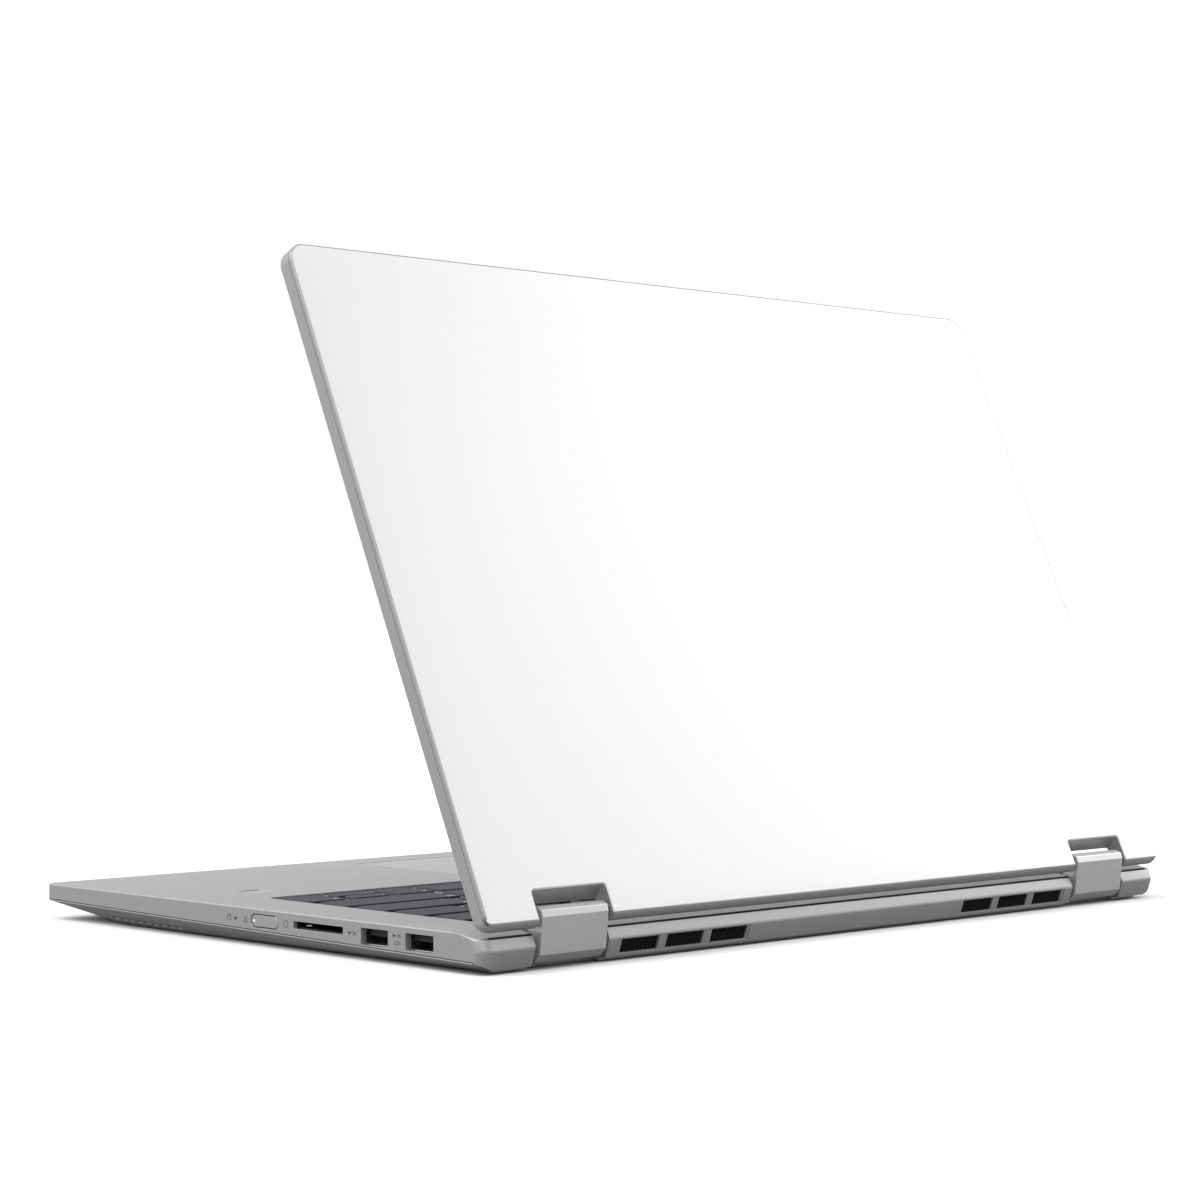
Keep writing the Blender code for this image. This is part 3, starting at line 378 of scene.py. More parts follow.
def fillet(points, radius, steps=3):
    """The outline with an arc in place of each corner, as far as its neighbours leave room."""
    made = []
    count = len(points)
    for index in range(count):
        before, here, after = (Vector(points[(index + shift) % count]) for shift in (-1, 0, 1))
        back, ahead = before - here, after - here
        half = back.angle(ahead) / 2
        reach = min(radius / math.tan(half), 0.45 * back.length, 0.45 * ahead.length)
        size = reach * math.tan(half)
        centre = here + (back.normalized() + ahead.normalized()).normalized() * size / math.sin(half)
        start, end = (here + side.normalized() * reach - centre for side in (back, ahead))
        for step in range(steps + 1):
            share = step / steps
            made.append(tuple(centre + (start * (1 - share) + end * share).normalized() * size))
    return made


def offset(points, distance):
    """An anticlockwise outline moved inwards."""
    moved = []
    count = len(points)
    for index in range(count):
        before, here, after = (Vector(points[(index + shift) % count]) for shift in (-1, 0, 1))
        a, b = (here - before).normalized(), (after - here).normalized()
        inward = Vector((-a.y - b.y, a.x + b.x)).normalized()
        moved.append(tuple(here + inward * distance / max(0.4, inward.dot(Vector((-a.y, a.x))))))
    return moved


def moulded(points, low, high, edge, axis):
    """An extruded outline with softened ends."""
    ends = quarter(edge)
    heights = [(low + depth, inset) for depth, inset in ends]
    heights += [(high - depth, inset) for depth, inset in reversed(ends)]
    return loft([level(offset(points, inset), w) for w, inset in heights], axis)


def rod(start, end, radius, sides=24):
    start, end = Vector(start) * MM, Vector(end) * MM
    turn = (end - start).to_track_quat("Z", "Y").to_matrix().to_4x4()
    bm = bmesh.new()
    bmesh.ops.create_cone(bm, cap_ends=True, segments=sides, radius1=radius * MM, radius2=radius * MM,
                          depth=(end - start).length, matrix=Matrix.Translation((start + end) / 2) @ turn)
    return solid(bm)


def turned(profile, centre, sides=24):
    """A piece turned about a vertical line: profile is (radius, z) from below to above."""
    x, y = centre
    rings = []
    for radius, z in profile:
        angles = [2 * math.pi * i / sides for i in range(sides)]
        rings.append([(x + radius * math.cos(a), y + radius * math.sin(a), z) for a in angles])
    return loft(rings)


def together(shapes):
    """Several shapes as one object, their surfaces left apart."""
    bm = bmesh.new()
    for shape in shapes:
        bm.from_mesh(shape.data)
        bpy.data.objects.remove(shape)
    return solid(bm)


def combined(obj, operation, others):
    for other in others:
        modifier = obj.modifiers.new("combine", "BOOLEAN")
        modifier.operation = operation
        modifier.object = other
        modifier.solver = "EXACT"
    bpy.context.view_layer.update()
    mesh = bpy.data.meshes.new_from_object(obj.evaluated_get(bpy.context.evaluated_depsgraph_get()))
    obj.modifiers.clear()
    obj.data = mesh
    for other in others:
        bpy.data.objects.remove(other)
    return obj


def cut(obj, *others):
    return combined(obj, "DIFFERENCE", others)


def join(obj, *others):
    return combined(obj, "UNION", others)


def mirrored(low, high, side):
    xs = sorted((low[0] * side, high[0] * side))
    return (xs[0], *low[1:]), (xs[1], *high[1:])


def soften(obj, angle=38):
    """Smooth shading across rounded edges, with flat faces kept flat."""
    obj.data.shade_smooth()
    obj.data.set_sharp_from_angle(angle=math.radians(angle))
    modifier = obj.modifiers.new("face_normals", "WEIGHTED_NORMAL")
    modifier.keep_sharp = True


def finish_piece(obj, name, finish, body, *replaced, turn=None):
    """Names a piece, gives it its material, and makes it ride on its body."""
    if turn:
        obj.data.transform(turn)
    obj.name = name
    obj.data.name = name
    obj.data.materials.clear()
    obj.data.materials.append(MATERIALS[finish])
    soften(obj)
    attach(obj, body)
    if replaced:
        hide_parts(*replaced)
    return obj


def parting_z(y):
    return PARTING_FRONT_Z + PARTING_SLOPE * (y - FRONT_Y)


# ------------------------------------------------------------------ keyboard layout
def key_cells():
    """Each key's node, its cap (x0, y0, x1, y1) and its legend."""
    cells = []
    for name, legends in KEY_LEGENDS.items():
        low, high = node_box(name)
        words = legends.split() or [""]
        widths = KEY_WIDTHS.get(name, [1.0] * len(words))
        unit = (high.x - low.x + 2 * KEY_INSET) / sum(widths)
        x = low.x - KEY_INSET
        for width, word in zip(widths, words):
            cells.append((name, (x + KEY_INSET, low.y, x + width * unit - KEY_INSET, high.y), word))
            x += width * unit
    return cells


def grown(cell, amount):
    return cell[0] - amount, cell[1] - amount, cell[2] + amount, cell[3] + amount


# ------------------------------------------------------------------ base shells
def rear_y(z):
    """Where the rear of the base is at a height, along its profile."""
    for (y0, z0), (y1, z1) in zip(REAR_PROFILE, REAR_PROFILE[1:]):
        if z <= z1:
            return y0 + (y1 - y0) * max(0.0, (z - z0) / (z1 - z0))
    return REAR_PROFILE[-1][0]


def deck_form():
    """The base's outer form from the rear wall's foot up to the deck."""
    heights = [(1.3, 0.0), (4.0, 0.0), (6.5, 0.0), (6.85, 0.06), (7.15, 0.08), (7.5, 0.02), (10.0, 0.0),
               (10.35, 0.12), (10.6, 0.18), (10.9, 0.05), (11.4, 0.0)]
    rings = []
    for z, trim in heights:
        y = rear_y(z) - trim
        rings.append(level(rounded(-HALF_WIDTH, FRONT_Y, HALF_WIDTH, y, CORNER_RADIUS, steps=8), z))
    for depth, inset in reversed(quarter(EDGE, 4)):
        z = DECK_Z - depth
        y = rear_y(z) - inset * 0.5
        radius = CORNER_RADIUS - inset
        ring = rounded(-HALF_WIDTH + inset, FRONT_Y + inset, HALF_WIDTH - inset, y, radius, steps=8)
        rings.append(level(ring, z))
    return loft(rings)


def deck_hollows():
    wide = HALF_WIDTH - WALL
    inner, outer, step_y = NOTCH_X[0] - WALL, NOTCH_X[1] + WALL, NOTCH_FRONT_Y - 2.0
    half = [(wide, FRONT_Y + WALL), (wide, REAR_INNER_Y), (outer, REAR_INNER_Y), (outer, step_y),
            (inner, step_y), (inner, REAR_INNER_Y)]
    hollow = prism(half + [(-x, y) for x, y in reversed(half)], -5, REAR_TOP_Z)
    return hollow, box((-wide, FRONT_Y + WALL, 8.9), (wide, 97.0, DECK_Z - WALL))


def notches():
    return together([slab(*mirrored((NOTCH_X[0], NOTCH_FRONT_Y, -5), (NOTCH_X[1], 125, 25), side), 0.6, 0.1)
                     for _, side in SIDES])


def wall_recess(side):
    """The shallow recess that frames each group of rear vents."""
    low_z, high_z, depth = VENT_Z[0] - 0.45, VENT_Z[1] + 0.35, 0.3
    (y0, z0), (y1, z1) = REAR_PROFILE[:2]
    outline = [(y0 + (y1 - y0) * (z - z0) / (z1 - z0) - depth, z) for z in (low_z, high_z)]
    points = [outline[0], (115, low_z), (115, high_z), outline[1]]
    span = sorted(side * x for x in (VENT_FIRST_X - 1.2,
                                     VENT_FIRST_X + VENT_PITCH * (VENT_COUNT - 1) + VENT_WIDTH + 1.2))
    return prism(points, *span, axis="x")


def vent_cutters():
    shapes = []
    for _, side in SIDES:
        for index in range(VENT_COUNT):
            x = VENT_FIRST_X + VENT_PITCH * index
            low, high = mirrored((x, REAR_INNER_Y - 2, VENT_Z[0]), (x + VENT_WIDTH, 115, VENT_Z[1]), side)
            shapes.append(slab(low, high, 0.35, 0.1, "y", 3))
    return together(shapes)


def side_cutters():
    """Openings through the side walls, each with a rounded edge."""
    face, reach = HALF_WIDTH, WALL + 1.0
    shapes = [pocket((face - reach, CARD_Y[0], CARD_Z[0]), (face + 1, CARD_Y[1], CARD_Z[1]), face, 0.35, 0.1, "x")]
    for y in USB_Y.values():
        low = (face - reach, y - USB_HALF_LENGTH, USB_Z[0])
        shapes.append(pocket(low, (face + 1, y + USB_HALF_LENGTH, USB_Z[1]), face, 0.3, 0.1, "x"))
    low, high = node_box("power_button")
    y0, y1, z0, z1 = low.y + 1.0 - GAP, high.y - 1.0 + GAP, 6.4 - GAP, 10.0 + GAP
    shapes.append(pocket((160, y0, z0), (166, y1, z1), face, (z1 - z0) / 2 - 0.05, 0.12, "x", 8))
    for (y0, y1), (z0, z1), radius in ((HDMI_Y, HDMI_Z, 0.6), (USB_C_Y, USB_C_Z, 1.4)):
        shapes.append(pocket((-face - 1, y0, z0), (-face + reach, y1, z1), -face, radius, 0.12, "x"))
    for (y, z), radius in ((POWER_JACK, POWER_JACK_RADIUS + 0.4), (AUDIO_JACK, AUDIO_JACK_RADIUS + 0.3)):
        low, high = (-face - 1, y - radius, z - radius), (-face + reach, y + radius, z + radius)
        shapes.append(pocket(low, high, -face, radius - 0.02, 0.2, "x", 8))
    reset_low, reset_high = node_box("reset_button")
    middle = (reset_low + reset_high) / 2
    shapes.append(rod((160, middle.y, middle.z), (166, middle.y, middle.z), 0.6, 16))
    return together(shapes)


def rear_chamfers():
    """Cutters that carry the bottom cover's side chamfers on across the rear wall."""
    slope = (parting_z(REAR_INNER_Y) - GAP / 2 - BELLY_Z) / (HALF_WIDTH + PAN_REACH - BELLY_HALF_WIDTH)
    shapes = []
    for _, side in SIDES:
        xs = [side * (BELLY_HALF_WIDTH + shift) for shift in (-5, 15)]
        heights = [BELLY_Z + slope * shift for shift in (-5, 15)]
        points = [(-6, xs[0]), (heights[0], xs[0]), (heights[1], xs[1]), (-6, xs[1])]
        shapes.append(prism(points if side > 0 else points[::-1], REAR_INNER_Y - 0.4, 120, "y"))
    return together(shapes)


def make_deck_shell():
    shell = deck_form()
    rear = parting_z(REAR_INNER_Y) + GAP / 2
    below = [(-120, parting_z(-120) + GAP / 2), (-120, -9), (REAR_INNER_Y - 0.05, -9), (REAR_INNER_Y - 0.05, rear)]
    key_holes = []
    cells = key_cells()
    for name, cell, _ in cells:
        if name == "key_arrow_up":
            continue
        x0, y0, x1, y1 = grown(cell, KEY_INSET - KEY_HOLE_INSET)
        if name == "key_arrow_down":
            # the two half-height keys share one hole
            y1 = node_box("key_arrow_up")[1].y + KEY_INSET - KEY_HOLE_INSET
        key_holes.append(pocket((x0, y0, 8), (x1, y1, LATTICE_Z + 0.5), LATTICE_Z, 1.2, 0.14, steps=3))
    x0, y0 = min(c[0] for _, c, _ in cells) - 2.5, min(c[1] for _, c, _ in cells) - 2.5
    x1, y1 = max(c[2] for _, c, _ in cells) + 2.5, max(c[3] for _, c, _ in cells) + 2.5
    keyboard = pocket((x0, y0, LATTICE_Z), (x1, y1, 14), DECK_Z, 3.0, 0.3, steps=8)
    deck_cuts = []
    for name, clear, radius in (("touchpad", 0.4, 2.2), ("fingerprint_reader", 0.3, 1.7)):
        low, high = node_box(name)
        deck_cuts.append(pocket((low.x - clear, low.y - clear, 8), (high.x + clear, high.y + clear, 14), DECK_Z,
                                radius, 0.15))
    bores = together([rod((side * 108.2, *LOWER_AXIS.yz), (side * 115, *LOWER_AXIS.yz), 1.35)
                      for _, side in SIDES])
    arm_pockets = together([box(*mirrored((108.6, 104.0, 4.6), (112.4, 108.6, 7.7), side)) for _, side in SIDES])
    recesses = together([wall_recess(side) for _, side in SIDES])
    crease_y, crease_z = REAR_PROFILE[2]
    groove = box((-170, crease_y - 1.3, crease_z - 0.24), (170, crease_y + 2, crease_z + 0.28))
    cut(shell, prism(below, -170, 170, "x"), rear_chamfers(), recesses, groove)
    cut(shell, *deck_hollows(), notches(), bores, arm_pockets)
    cut(shell, keyboard, together(key_holes), together(deck_cuts), side_cutters(), vent_cutters())
    return finish_piece(shell, "deck_shell", "silver", "base", "top_case")


def pan_rings(lift, spread, top_lift):
    """The bottom cover's outer form, moved up by lift and in by spread."""
    belly, front, rear = BELLY_HALF_WIDTH - spread, BELLY_FRONT_Y + spread, BELLY_REAR_Y
    wide, far = HALF_WIDTH - spread, FRONT_Y + spread
    low = BELLY_Z + lift
    rings = []
    for inset, z in ((0.8, low), (0.3, low + 0.07), (0.0, low + 0.2)):
        rings.append(level(rounded(-belly + inset, front + inset, belly - inset, rear - inset, 5.0, steps=8), z))
    rim = rounded(-wide, far, wide, PAN_REAR_Y, CORNER_RADIUS, steps=8)
    for drop in (0.43, 0.15):
        rings.append([(x, y, parting_z(y) - drop + top_lift) for x, y in rim])
    return rings


def make_bottom_pan():
    pan = loft(pan_rings(0.0, 0.0, 0.0))
    hollow = loft(pan_rings(FLOOR, WALL, 6.0))
    cut(hollow, together([box(*mirrored((NOTCH_X[0] - WALL, NOTCH_FRONT_Y - 2, -9), (NOTCH_X[1] + WALL, 125, 30), s))
                          for _, s in SIDES]))
    inner, outer = NOTCH_X
    rear = REAR_INNER_Y - 0.4
    half = [(inner, rear), (inner, NOTCH_FRONT_Y), (outer, NOTCH_FRONT_Y), (outer, rear), (170, rear), (170, 121)]
    relief = half + [(-x, y) for x, y in reversed(half)]
    slots = [pocket((60, 50 + 5 * i, -2), (102, 52.2 + 5 * i, 4), BELLY_Z, 1.05, 0.2) for i in range(8)]
    for _, side in SIDES:
        slots += [slab(*mirrored((158.3, -78 + 4.4 * i, -2), (160.0, -75.4 + 4.4 * i, 6.2), side), 0.5, 0.05)
                  for i in range(9)]
    sockets = [turned([(2.5, BELLY_Z - 0.3), (2.2, BELLY_Z), (2.2, BELLY_Z + 0.5)], centre)
               for centre in SCREW_PLACES]
    cut(pan, hollow, prism(relief, -7, 27))
    cut(pan, together(slots), together(sockets))
    low_z, high_z = REAR_LIP_Z
    lip_x = inner - WALL
    lip = [(rear - 4, low_z + 0.5), (rear - 3.5, low_z), (REAR_PROFILE[0][0] - 0.6, low_z),
           (REAR_PROFILE[0][0] - 0.3, low_z + 0.3), (REAR_PROFILE[0][0] - 0.3, high_z), (rear - 0.2, high_z),
           (rear - 0.2, BELLY_Z + 0.3), (rear - 4, BELLY_Z + 0.3)]
    join(pan, prism(lip, -lip_x, lip_x, "x"))
    return finish_piece(pan, "bottom_pan", "belly", "base", "bottom_cover")


SCREW_PLACES = [(x, y) for y in (-70.0, 14.0, 98.0) for x in (-148.0, -50.0, 50.0, 148.0) if abs(x) < 100 or y < 90]


def make_screws():
    """Countersunk screws with a six-lobed drive, in one piece."""
    heads = []
    for x, y in SCREW_PLACES:
        face = BELLY_Z + 0.15
        head = turned([(1.55, face), (1.75, face + 0.06), (1.75, face + 0.34)], (x, y))
        lobes = 24
        ring = []
        for i in range(lobes):
            angle = 2 * math.pi * i / lobes
            size = 0.72 + 0.14 * math.cos(6 * angle)
            ring.append((x + size * math.cos(angle), y + size * math.sin(angle)))
        cut(head, prism(ring, face - 0.5, face + 0.22))
        heads.append(head)
    finish_piece(together(heads), "cover_screws", "steel", "base")


def make_feet():
    for name in ("rear_foot", "front_foot_left", "front_foot_right"):
        low, high = node_box(name)
        foot = slab(low, high, min(3.0, (high.y - low.y) / 2 - 0.1), 0.35, steps=8)
        finish_piece(foot, name + "_pad", "rubber", "base", name)


# ------------------------------------------------------------------ ports and vents
def sleeve(low, high, wall, radius, side):
    """A drawn metal sleeve, open towards the outside, with a flared mouth."""
    outer = slab(low, high, radius + wall, 0.05, "x")
    x0, x1 = (low[0] + 0.8, high[0] + 2) if side > 0 else (low[0] - 2, high[0] - 0.8)
    face = high[0] if side > 0 else low[0]
    hole = pocket((x0, low[1] + wall, low[2] + wall), (x1, high[1] - wall, high[2] - wall), face, radius, 0.12, "x")
    return cut(outer, hole)


def blades(low, high, count, axis_step):
    """Equal contacts side by side from low to high along y."""
    (x0, y0, z0), (x1, y1, z1) = low, high
    pitch = (y1 - y0) / count
    return together([slab((x0, y0 + pitch * (i + 0.5) - axis_step / 2, z0), (x1, y0 + pitch * (i + 0.5) + axis_step / 2, z1),
                          0.08, 0.03, steps=2) for i in range(count)])


def make_usb_ports():
    for name in USB_Y:
        low, high = node_box(name)
        finish_piece(sleeve(low, high, 0.3, 0.3, 1), name + "_sleeve", "steel", "base", name)
        back, front = low.x + 0.9, high.x - 1.0
        tongue = slab((back, low.y + 1.3, 7.7), (front, high.y - 1.3, 9.3), 0.3, 0.2, "x")
        finish_piece(tongue, name + "_tongue", "black", "base")
        contacts = blades((back + 3, low.y + 2.2, 7.58), (front - 0.6, high.y - 2.2, 7.72), 4, 1.0)
        finish_piece(contacts, name + "_contacts", "gold", "base")
        # a near-black block at the back of the port: painted shade for its dark inside
        shade_block = slab((back, low.y + 0.5, low.z + 0.35), (back + 0.6, high.y - 0.5, high.z - 0.35), 0.2, 0.1, "x")
        finish_piece(shade_block, name + "_painted_shade", "shade_black", "base")


def make_card_reader():
    low, high = node_box("card_reader")
    finish_piece(sleeve(low, high, 0.3, 0.2, 1), "card_reader_sleeve", "black", "base", "card_reader")
    contacts = blades((high.x - 9, low.y + 3, 8.85), (high.x - 5, high.y - 3, 8.95), 9, 1.2)
    finish_piece(contacts, "card_reader_contacts", "gold", "base")
    spring = slab((high.x - 3.0, low.y + 3.4, 8.0), (high.x - 0.6, low.y + 6.2, 8.5), 0.2, 0.1, "x")
    finish_piece(spring, "card_reader_spring", "steel", "base")


def make_left_ports():
    for name, tongue_z, reach, count in (("hdmi_port", (7.0, 8.2), 2.6, 9), ("usb_c_port", (7.1, 7.9), 1.9, 6)):
        low, high = node_box(name)
        radius = 0.5 if name == "hdmi_port" else 1.2
        finish_piece(sleeve(low, high, 0.3, radius, -1), name + "_sleeve", "steel", "base", name)
        tongue = slab((low.x + 1.0, low.y + reach, tongue_z[0]), (high.x - 0.9, high.y - reach, tongue_z[1]),
                      0.25, 0.15, "x")
        finish_piece(tongue, name + "_tongue", "black", "base")
        contacts = blades((low.x + 1.6, low.y + reach + 0.4, tongue_z[1] - 0.03),
                          (low.x + 5, high.y - reach - 0.4, tongue_z[1] + 0.05), count, 0.35)
        finish_piece(contacts, name + "_contacts", "gold", "base")


def make_vent_fins():
    """A near-black back wall with thin upright fins in each vent, close behind the face: painted shade for the vent's
    shadowed inside.
    """
    (foot_y, foot_z), (top_y, top_z) = REAR_PROFILE[:2]
    low_z, high_z = VENT_Z
    slope = (top_y - foot_y) / (top_z - foot_z)
    low_y, high_y = (foot_y + slope * (z - foot_z) - VENT_RECESS for z in VENT_Z)
    for word, side in SIDES:
        pieces = []
        for index in range(VENT_COUNT):
            x = VENT_FIRST_X + VENT_PITCH * index
            span = sorted((side * (x + 0.04), side * (x + VENT_WIDTH - 0.04)))
            back = [(104.5, low_z + 0.04), (low_y - 0.9, low_z + 0.04), (high_y - 0.9, high_z - 0.04),
                    (104.5, high_z - 0.04)]
            pieces.append(prism(back, *span, axis="x"))
            count = 14
            for i in range(count):
                at = side * (x + VENT_WIDTH * (i + 0.5) / count)
                fin = [(low_y - 1.2, low_z + 0.04), (low_y, low_z + 0.04), (high_y, high_z - 0.04),
                       (high_y - 1.2, high_z - 0.04)]
                pieces.append(prism(fin, at - 0.14, at + 0.14, axis="x"))
        finish_piece(together(pieces), "vent_fins_" + word, "shade_black", "base")


def make_rear_shade_strip():
    """Painted shade: a near-black strip in the groove between the deck and the rear wall, set back from the face, for
    the dark line of shade there.
    """
    crease_y, crease_z = REAR_PROFILE[2]
    low, high = crease_z - 0.22, crease_z + 0.26
    spans = [(-NOTCH_X[0] + 0.1, NOTCH_X[0] - 0.1)]
    spans += [tuple(sorted((side * (NOTCH_X[1] + 0.1), side * SHADE_STRIP_END_X))) for _, side in SIDES]
    pieces = [box((x0, crease_y - 1.28, low), (x1, crease_y - 0.3, high)) for x0, x1 in spans]
    finish_piece(together(pieces), "rear_shade_strip", "shade_black", "base")


# ------------------------------------------------------------------ controls
def make_deck_controls():
    low, high = node_box("touchpad")
    finish_piece(slab(low, high, 2.0, 0.2), "touchpad_plate", "satin", "touchpad", "touchpad")
    low, high = node_box("fingerprint_reader")
    reader = slab(low, high, 1.5, 0.2)
    finish_piece(reader, "fingerprint_plate", "satin", "base", "fingerprint_reader")
    rim = slab((low.x - 0.15, low.y - 0.15, high.z - 0.6), (high.x + 0.15, high.y + 0.15, high.z + 0.12), 1.65, 0.08)
    inside = slab((low.x + 0.35, low.y + 0.35, high.z - 2), (high.x - 0.35, high.y - 0.35, high.z + 2), 1.2, 0.02)
    finish_piece(cut(rim, inside), "fingerprint_rim", "steel", "base")


def make_power_button():
    low, high = node_box("power_button")
    y0, y1 = low.y + 1.0, high.y - 1.0
    z0, z1 = 6.4, 10.0
    radius = (z1 - z0) / 2 - 0.05
    button = slab((161.0, y0, z0), (high.x, y1, z1), radius, 0.22, "x", 8)
    flange = slab((160.9, low.y, low.z), (161.9, high.y, high.z), 1.6, 0.05, "x")
    finish_piece(join(button, flange), "power_button_cap", "satin", "power_button", "power_button")
    lamp = slab((high.x - 0.3, y0 + 1.0, 7.9), (high.x + 0.03, y0 + 1.7, 8.5), 0.3, 0.03, "x")
    finish_piece(lamp, "power_lamp", "lamp", "power_button")
    # a near-black ring in the gap round the button: painted shade for that gap
    shade_ring_outer = pocket((162.0, y0 - 0.28, z0 - 0.28), (163.3, y1 + 0.28, z1 + 0.28), 163.5,
                        radius + 0.28, 0.01, "x", 8)
    shade_ring_inner = pocket((160.0, y0 - 0.03, z0 - 0.03), (165.5, y1 + 0.03, z1 + 0.03), 165.0, radius, 0.01, "x", 8)
    finish_piece(cut(shade_ring_outer, shade_ring_inner), "power_button_shade_ring", "shade_black", "base")


def strokes(lines, width, face, axis_side=1):
    """Printed lines on a side wall: each is a list of (y, z) points."""
    shapes = []
    proud = 0.02
    for line in lines:
        for (y0, z0), (y1, z1) in zip(line, line[1:]):
            along = Vector((y1 - y0, z1 - z0))
            across = Vector((-along.y, along.x)).normalized() * width / 2
            tip = along.normalized() * width / 2
            a, b = Vector((y0, z0)) - tip, Vector((y1, z1)) + tip
            points = [tuple(a - across), tuple(b - across), tuple(b + across), tuple(a + across)]
            low, high = (face - 0.1, face + proud) if axis_side > 0 else (-face - proud, -face + 0.1)
            shapes.append(prism(points, low, high, "x"))
    return shapes


def arc(centre, radius, start, end, steps=10):
    angles = [math.radians(start + (end - start) * step / steps) for step in range(steps + 1)]
    return [(centre[0] + radius * math.cos(a), centre[1] + radius * math.sin(a)) for a in angles]


def make_printed_marks():
    """Small generic symbols beside the ports."""
    right = [
        arc((-8.3, 8.5), 0.75, 180, 0) + [(-7.55, 7.5)],
        [(-9.05, 8.5), (-9.05, 7.5)],
        arc((0.1, 8.1), 0.8, 125, 415),
        [(0.1, 8.3), (0.1, 9.1)],
        [(19.2, 7.4), (21.0, 7.4), (21.0, 9.3), (19.8, 9.3), (19.2, 8.7), (19.2, 7.4)],
        [(50.3, 8.1), (53.6, 8.1)],
        arc((50.6, 8.1), 0.32, 0, 360, 8),
        [(52.6, 8.7), (53.6, 8.1), (52.6, 7.5)],
        [(70.8, 8.9), (74.1, 8.9)],
        arc((71.1, 8.9), 0.32, 0, 360, 8),
        [(73.1, 9.5), (74.1, 8.9), (73.1, 8.3)],
        [(71.6, 6.3), (73.4, 6.3), (73.4, 7.2), (71.6, 7.2), (71.6, 6.3)],
        [(73.8, 6.55), (73.8, 6.95)],
    ]
    finish_piece(together(strokes(right, 0.22, HALF_WIDTH)), "side_marks_right", "mark", "base")
    left = [
        arc((23.5, 7.6), 0.9, 0, 180),
        [(22.6, 7.6), (22.6, 6.9)],
        [(24.4, 7.6), (24.4, 6.9)],
        [(36.2, 7.5), (39.2, 7.5)],
        [(38.3, 8.1), (39.2, 7.5), (38.3, 6.9)],
        [(53.0, 6.8), (56.2, 6.8), (56.2, 8.6), (53.0, 8.6), (53.0, 6.8)],
        [(79.4, 7.2), (81.6, 7.2)],
    ]
    finish_piece(together(strokes(left, 0.22, HALF_WIDTH, -1)), "side_marks_left", "mark", "base")


# ------------------------------------------------------------------ keys
def cap_height(cell, x, y):
    """Height of the gently hollowed top of a key."""
    x0, y0, x1, y1 = cell
    u = (2 * x - x0 - x1) / (x1 - x0)
    v = (2 * y - y0 - y1) / (y1 - y0)
    hollow = max(0.0, 1 - abs(u) ** 4) * max(0.0, 1 - v * v)
    return KEY_TOP_Z - KEY_DISH * hollow


def key_cap(cell):
    """A cap with rounded corners, larger ones towards the user, and a hollowed top."""
    x0, y0, x1, y1 = cell
    depth = y1 - y0
    rear_radius = min(1.3, depth * 0.3)
    front_radius = min(3.0, depth * 0.35)
    rings = []
    for z, inset in ((9.2, -0.05), (10.9, 0.0), (11.5, 0.1)):
        rings.append(level(rounded(x0 + inset, y0 + inset, x1 - inset, y1 - inset, rear_radius, front_radius), z))
    for drop, inset in ((0.22, 0.22), (0.12, 0.30), (0.04, 0.42), (0.0, 0.60), (0.0, 1.0), (0.0, 1.8), (0.0, 3.0)):
        if inset > depth * 0.42:
            break
        rear, front = max(0.2, rear_radius - inset * 0.6), max(0.2, front_radius - inset * 0.7)
        ring = rounded(x0 + inset, y0 + inset, x1 - inset, y1 - inset, rear, front)
        rings.append([(x, y, cap_height(cell, x, y) - drop) for x, y in ring])
    return loft(rings)


def legend(word, cell):
    """A printed legend near the rear left corner of a key, laid on its hollowed top."""
    size = 3.4 if len(word) == 1 else 2.3
    if cell[3] - cell[1] < 11:
        size = min(size, 2.2)
    curve = bpy.data.curves.new("legend", "FONT")
    curve.body = word
    curve.size = size * MM
    curve.resolution_u = 2
    obj = bpy.data.objects.new("legend", curve)
    bpy.context.scene.collection.objects.link(obj)
    bpy.context.view_layer.update()
    mesh = bpy.data.meshes.new_from_object(obj.evaluated_get(bpy.context.evaluated_depsgraph_get()))
    bpy.data.objects.remove(obj)
    bpy.data.curves.remove(curve)
    bm = bmesh.new()
    bm.from_mesh(mesh)
    bpy.data.meshes.remove(mesh)
    left, rear = cell[0] + 2.0, cell[3] - 1.6 - size * 0.72
    for vert in bm.verts:
        x, y = vert.co.x / MM + left, vert.co.y / MM + rear
        vert.co = Vector((x, y, cap_height(cell, x, y) + 0.02)) * MM
    return solid(bm)


def make_keys():
    caps, marks, spans = {}, {}, {}
    for name, cell, word in key_cells():
        caps.setdefault(name, []).append(key_cap(cell))
        spans.setdefault(name, []).append(cell)
        if word:
            marks.setdefault(name, []).append(legend(word, cell))
    for name, shapes in caps.items():
        cells = spans[name]
        if len(cells) > 1:
            middle = (cells[0][1] + cells[0][3]) / 2
            web = slab((cells[0][0] + 1, middle - 3, 9.0), (cells[-1][2] - 1, middle + 3, 9.4), 0.3, 0.1)
            shapes.append(web)
        finish_piece(together(shapes), name + "_caps", "slate", name, name)
    for name, shapes in marks.items():
        finish_piece(together(shapes), name + "_legends", "legend", name)


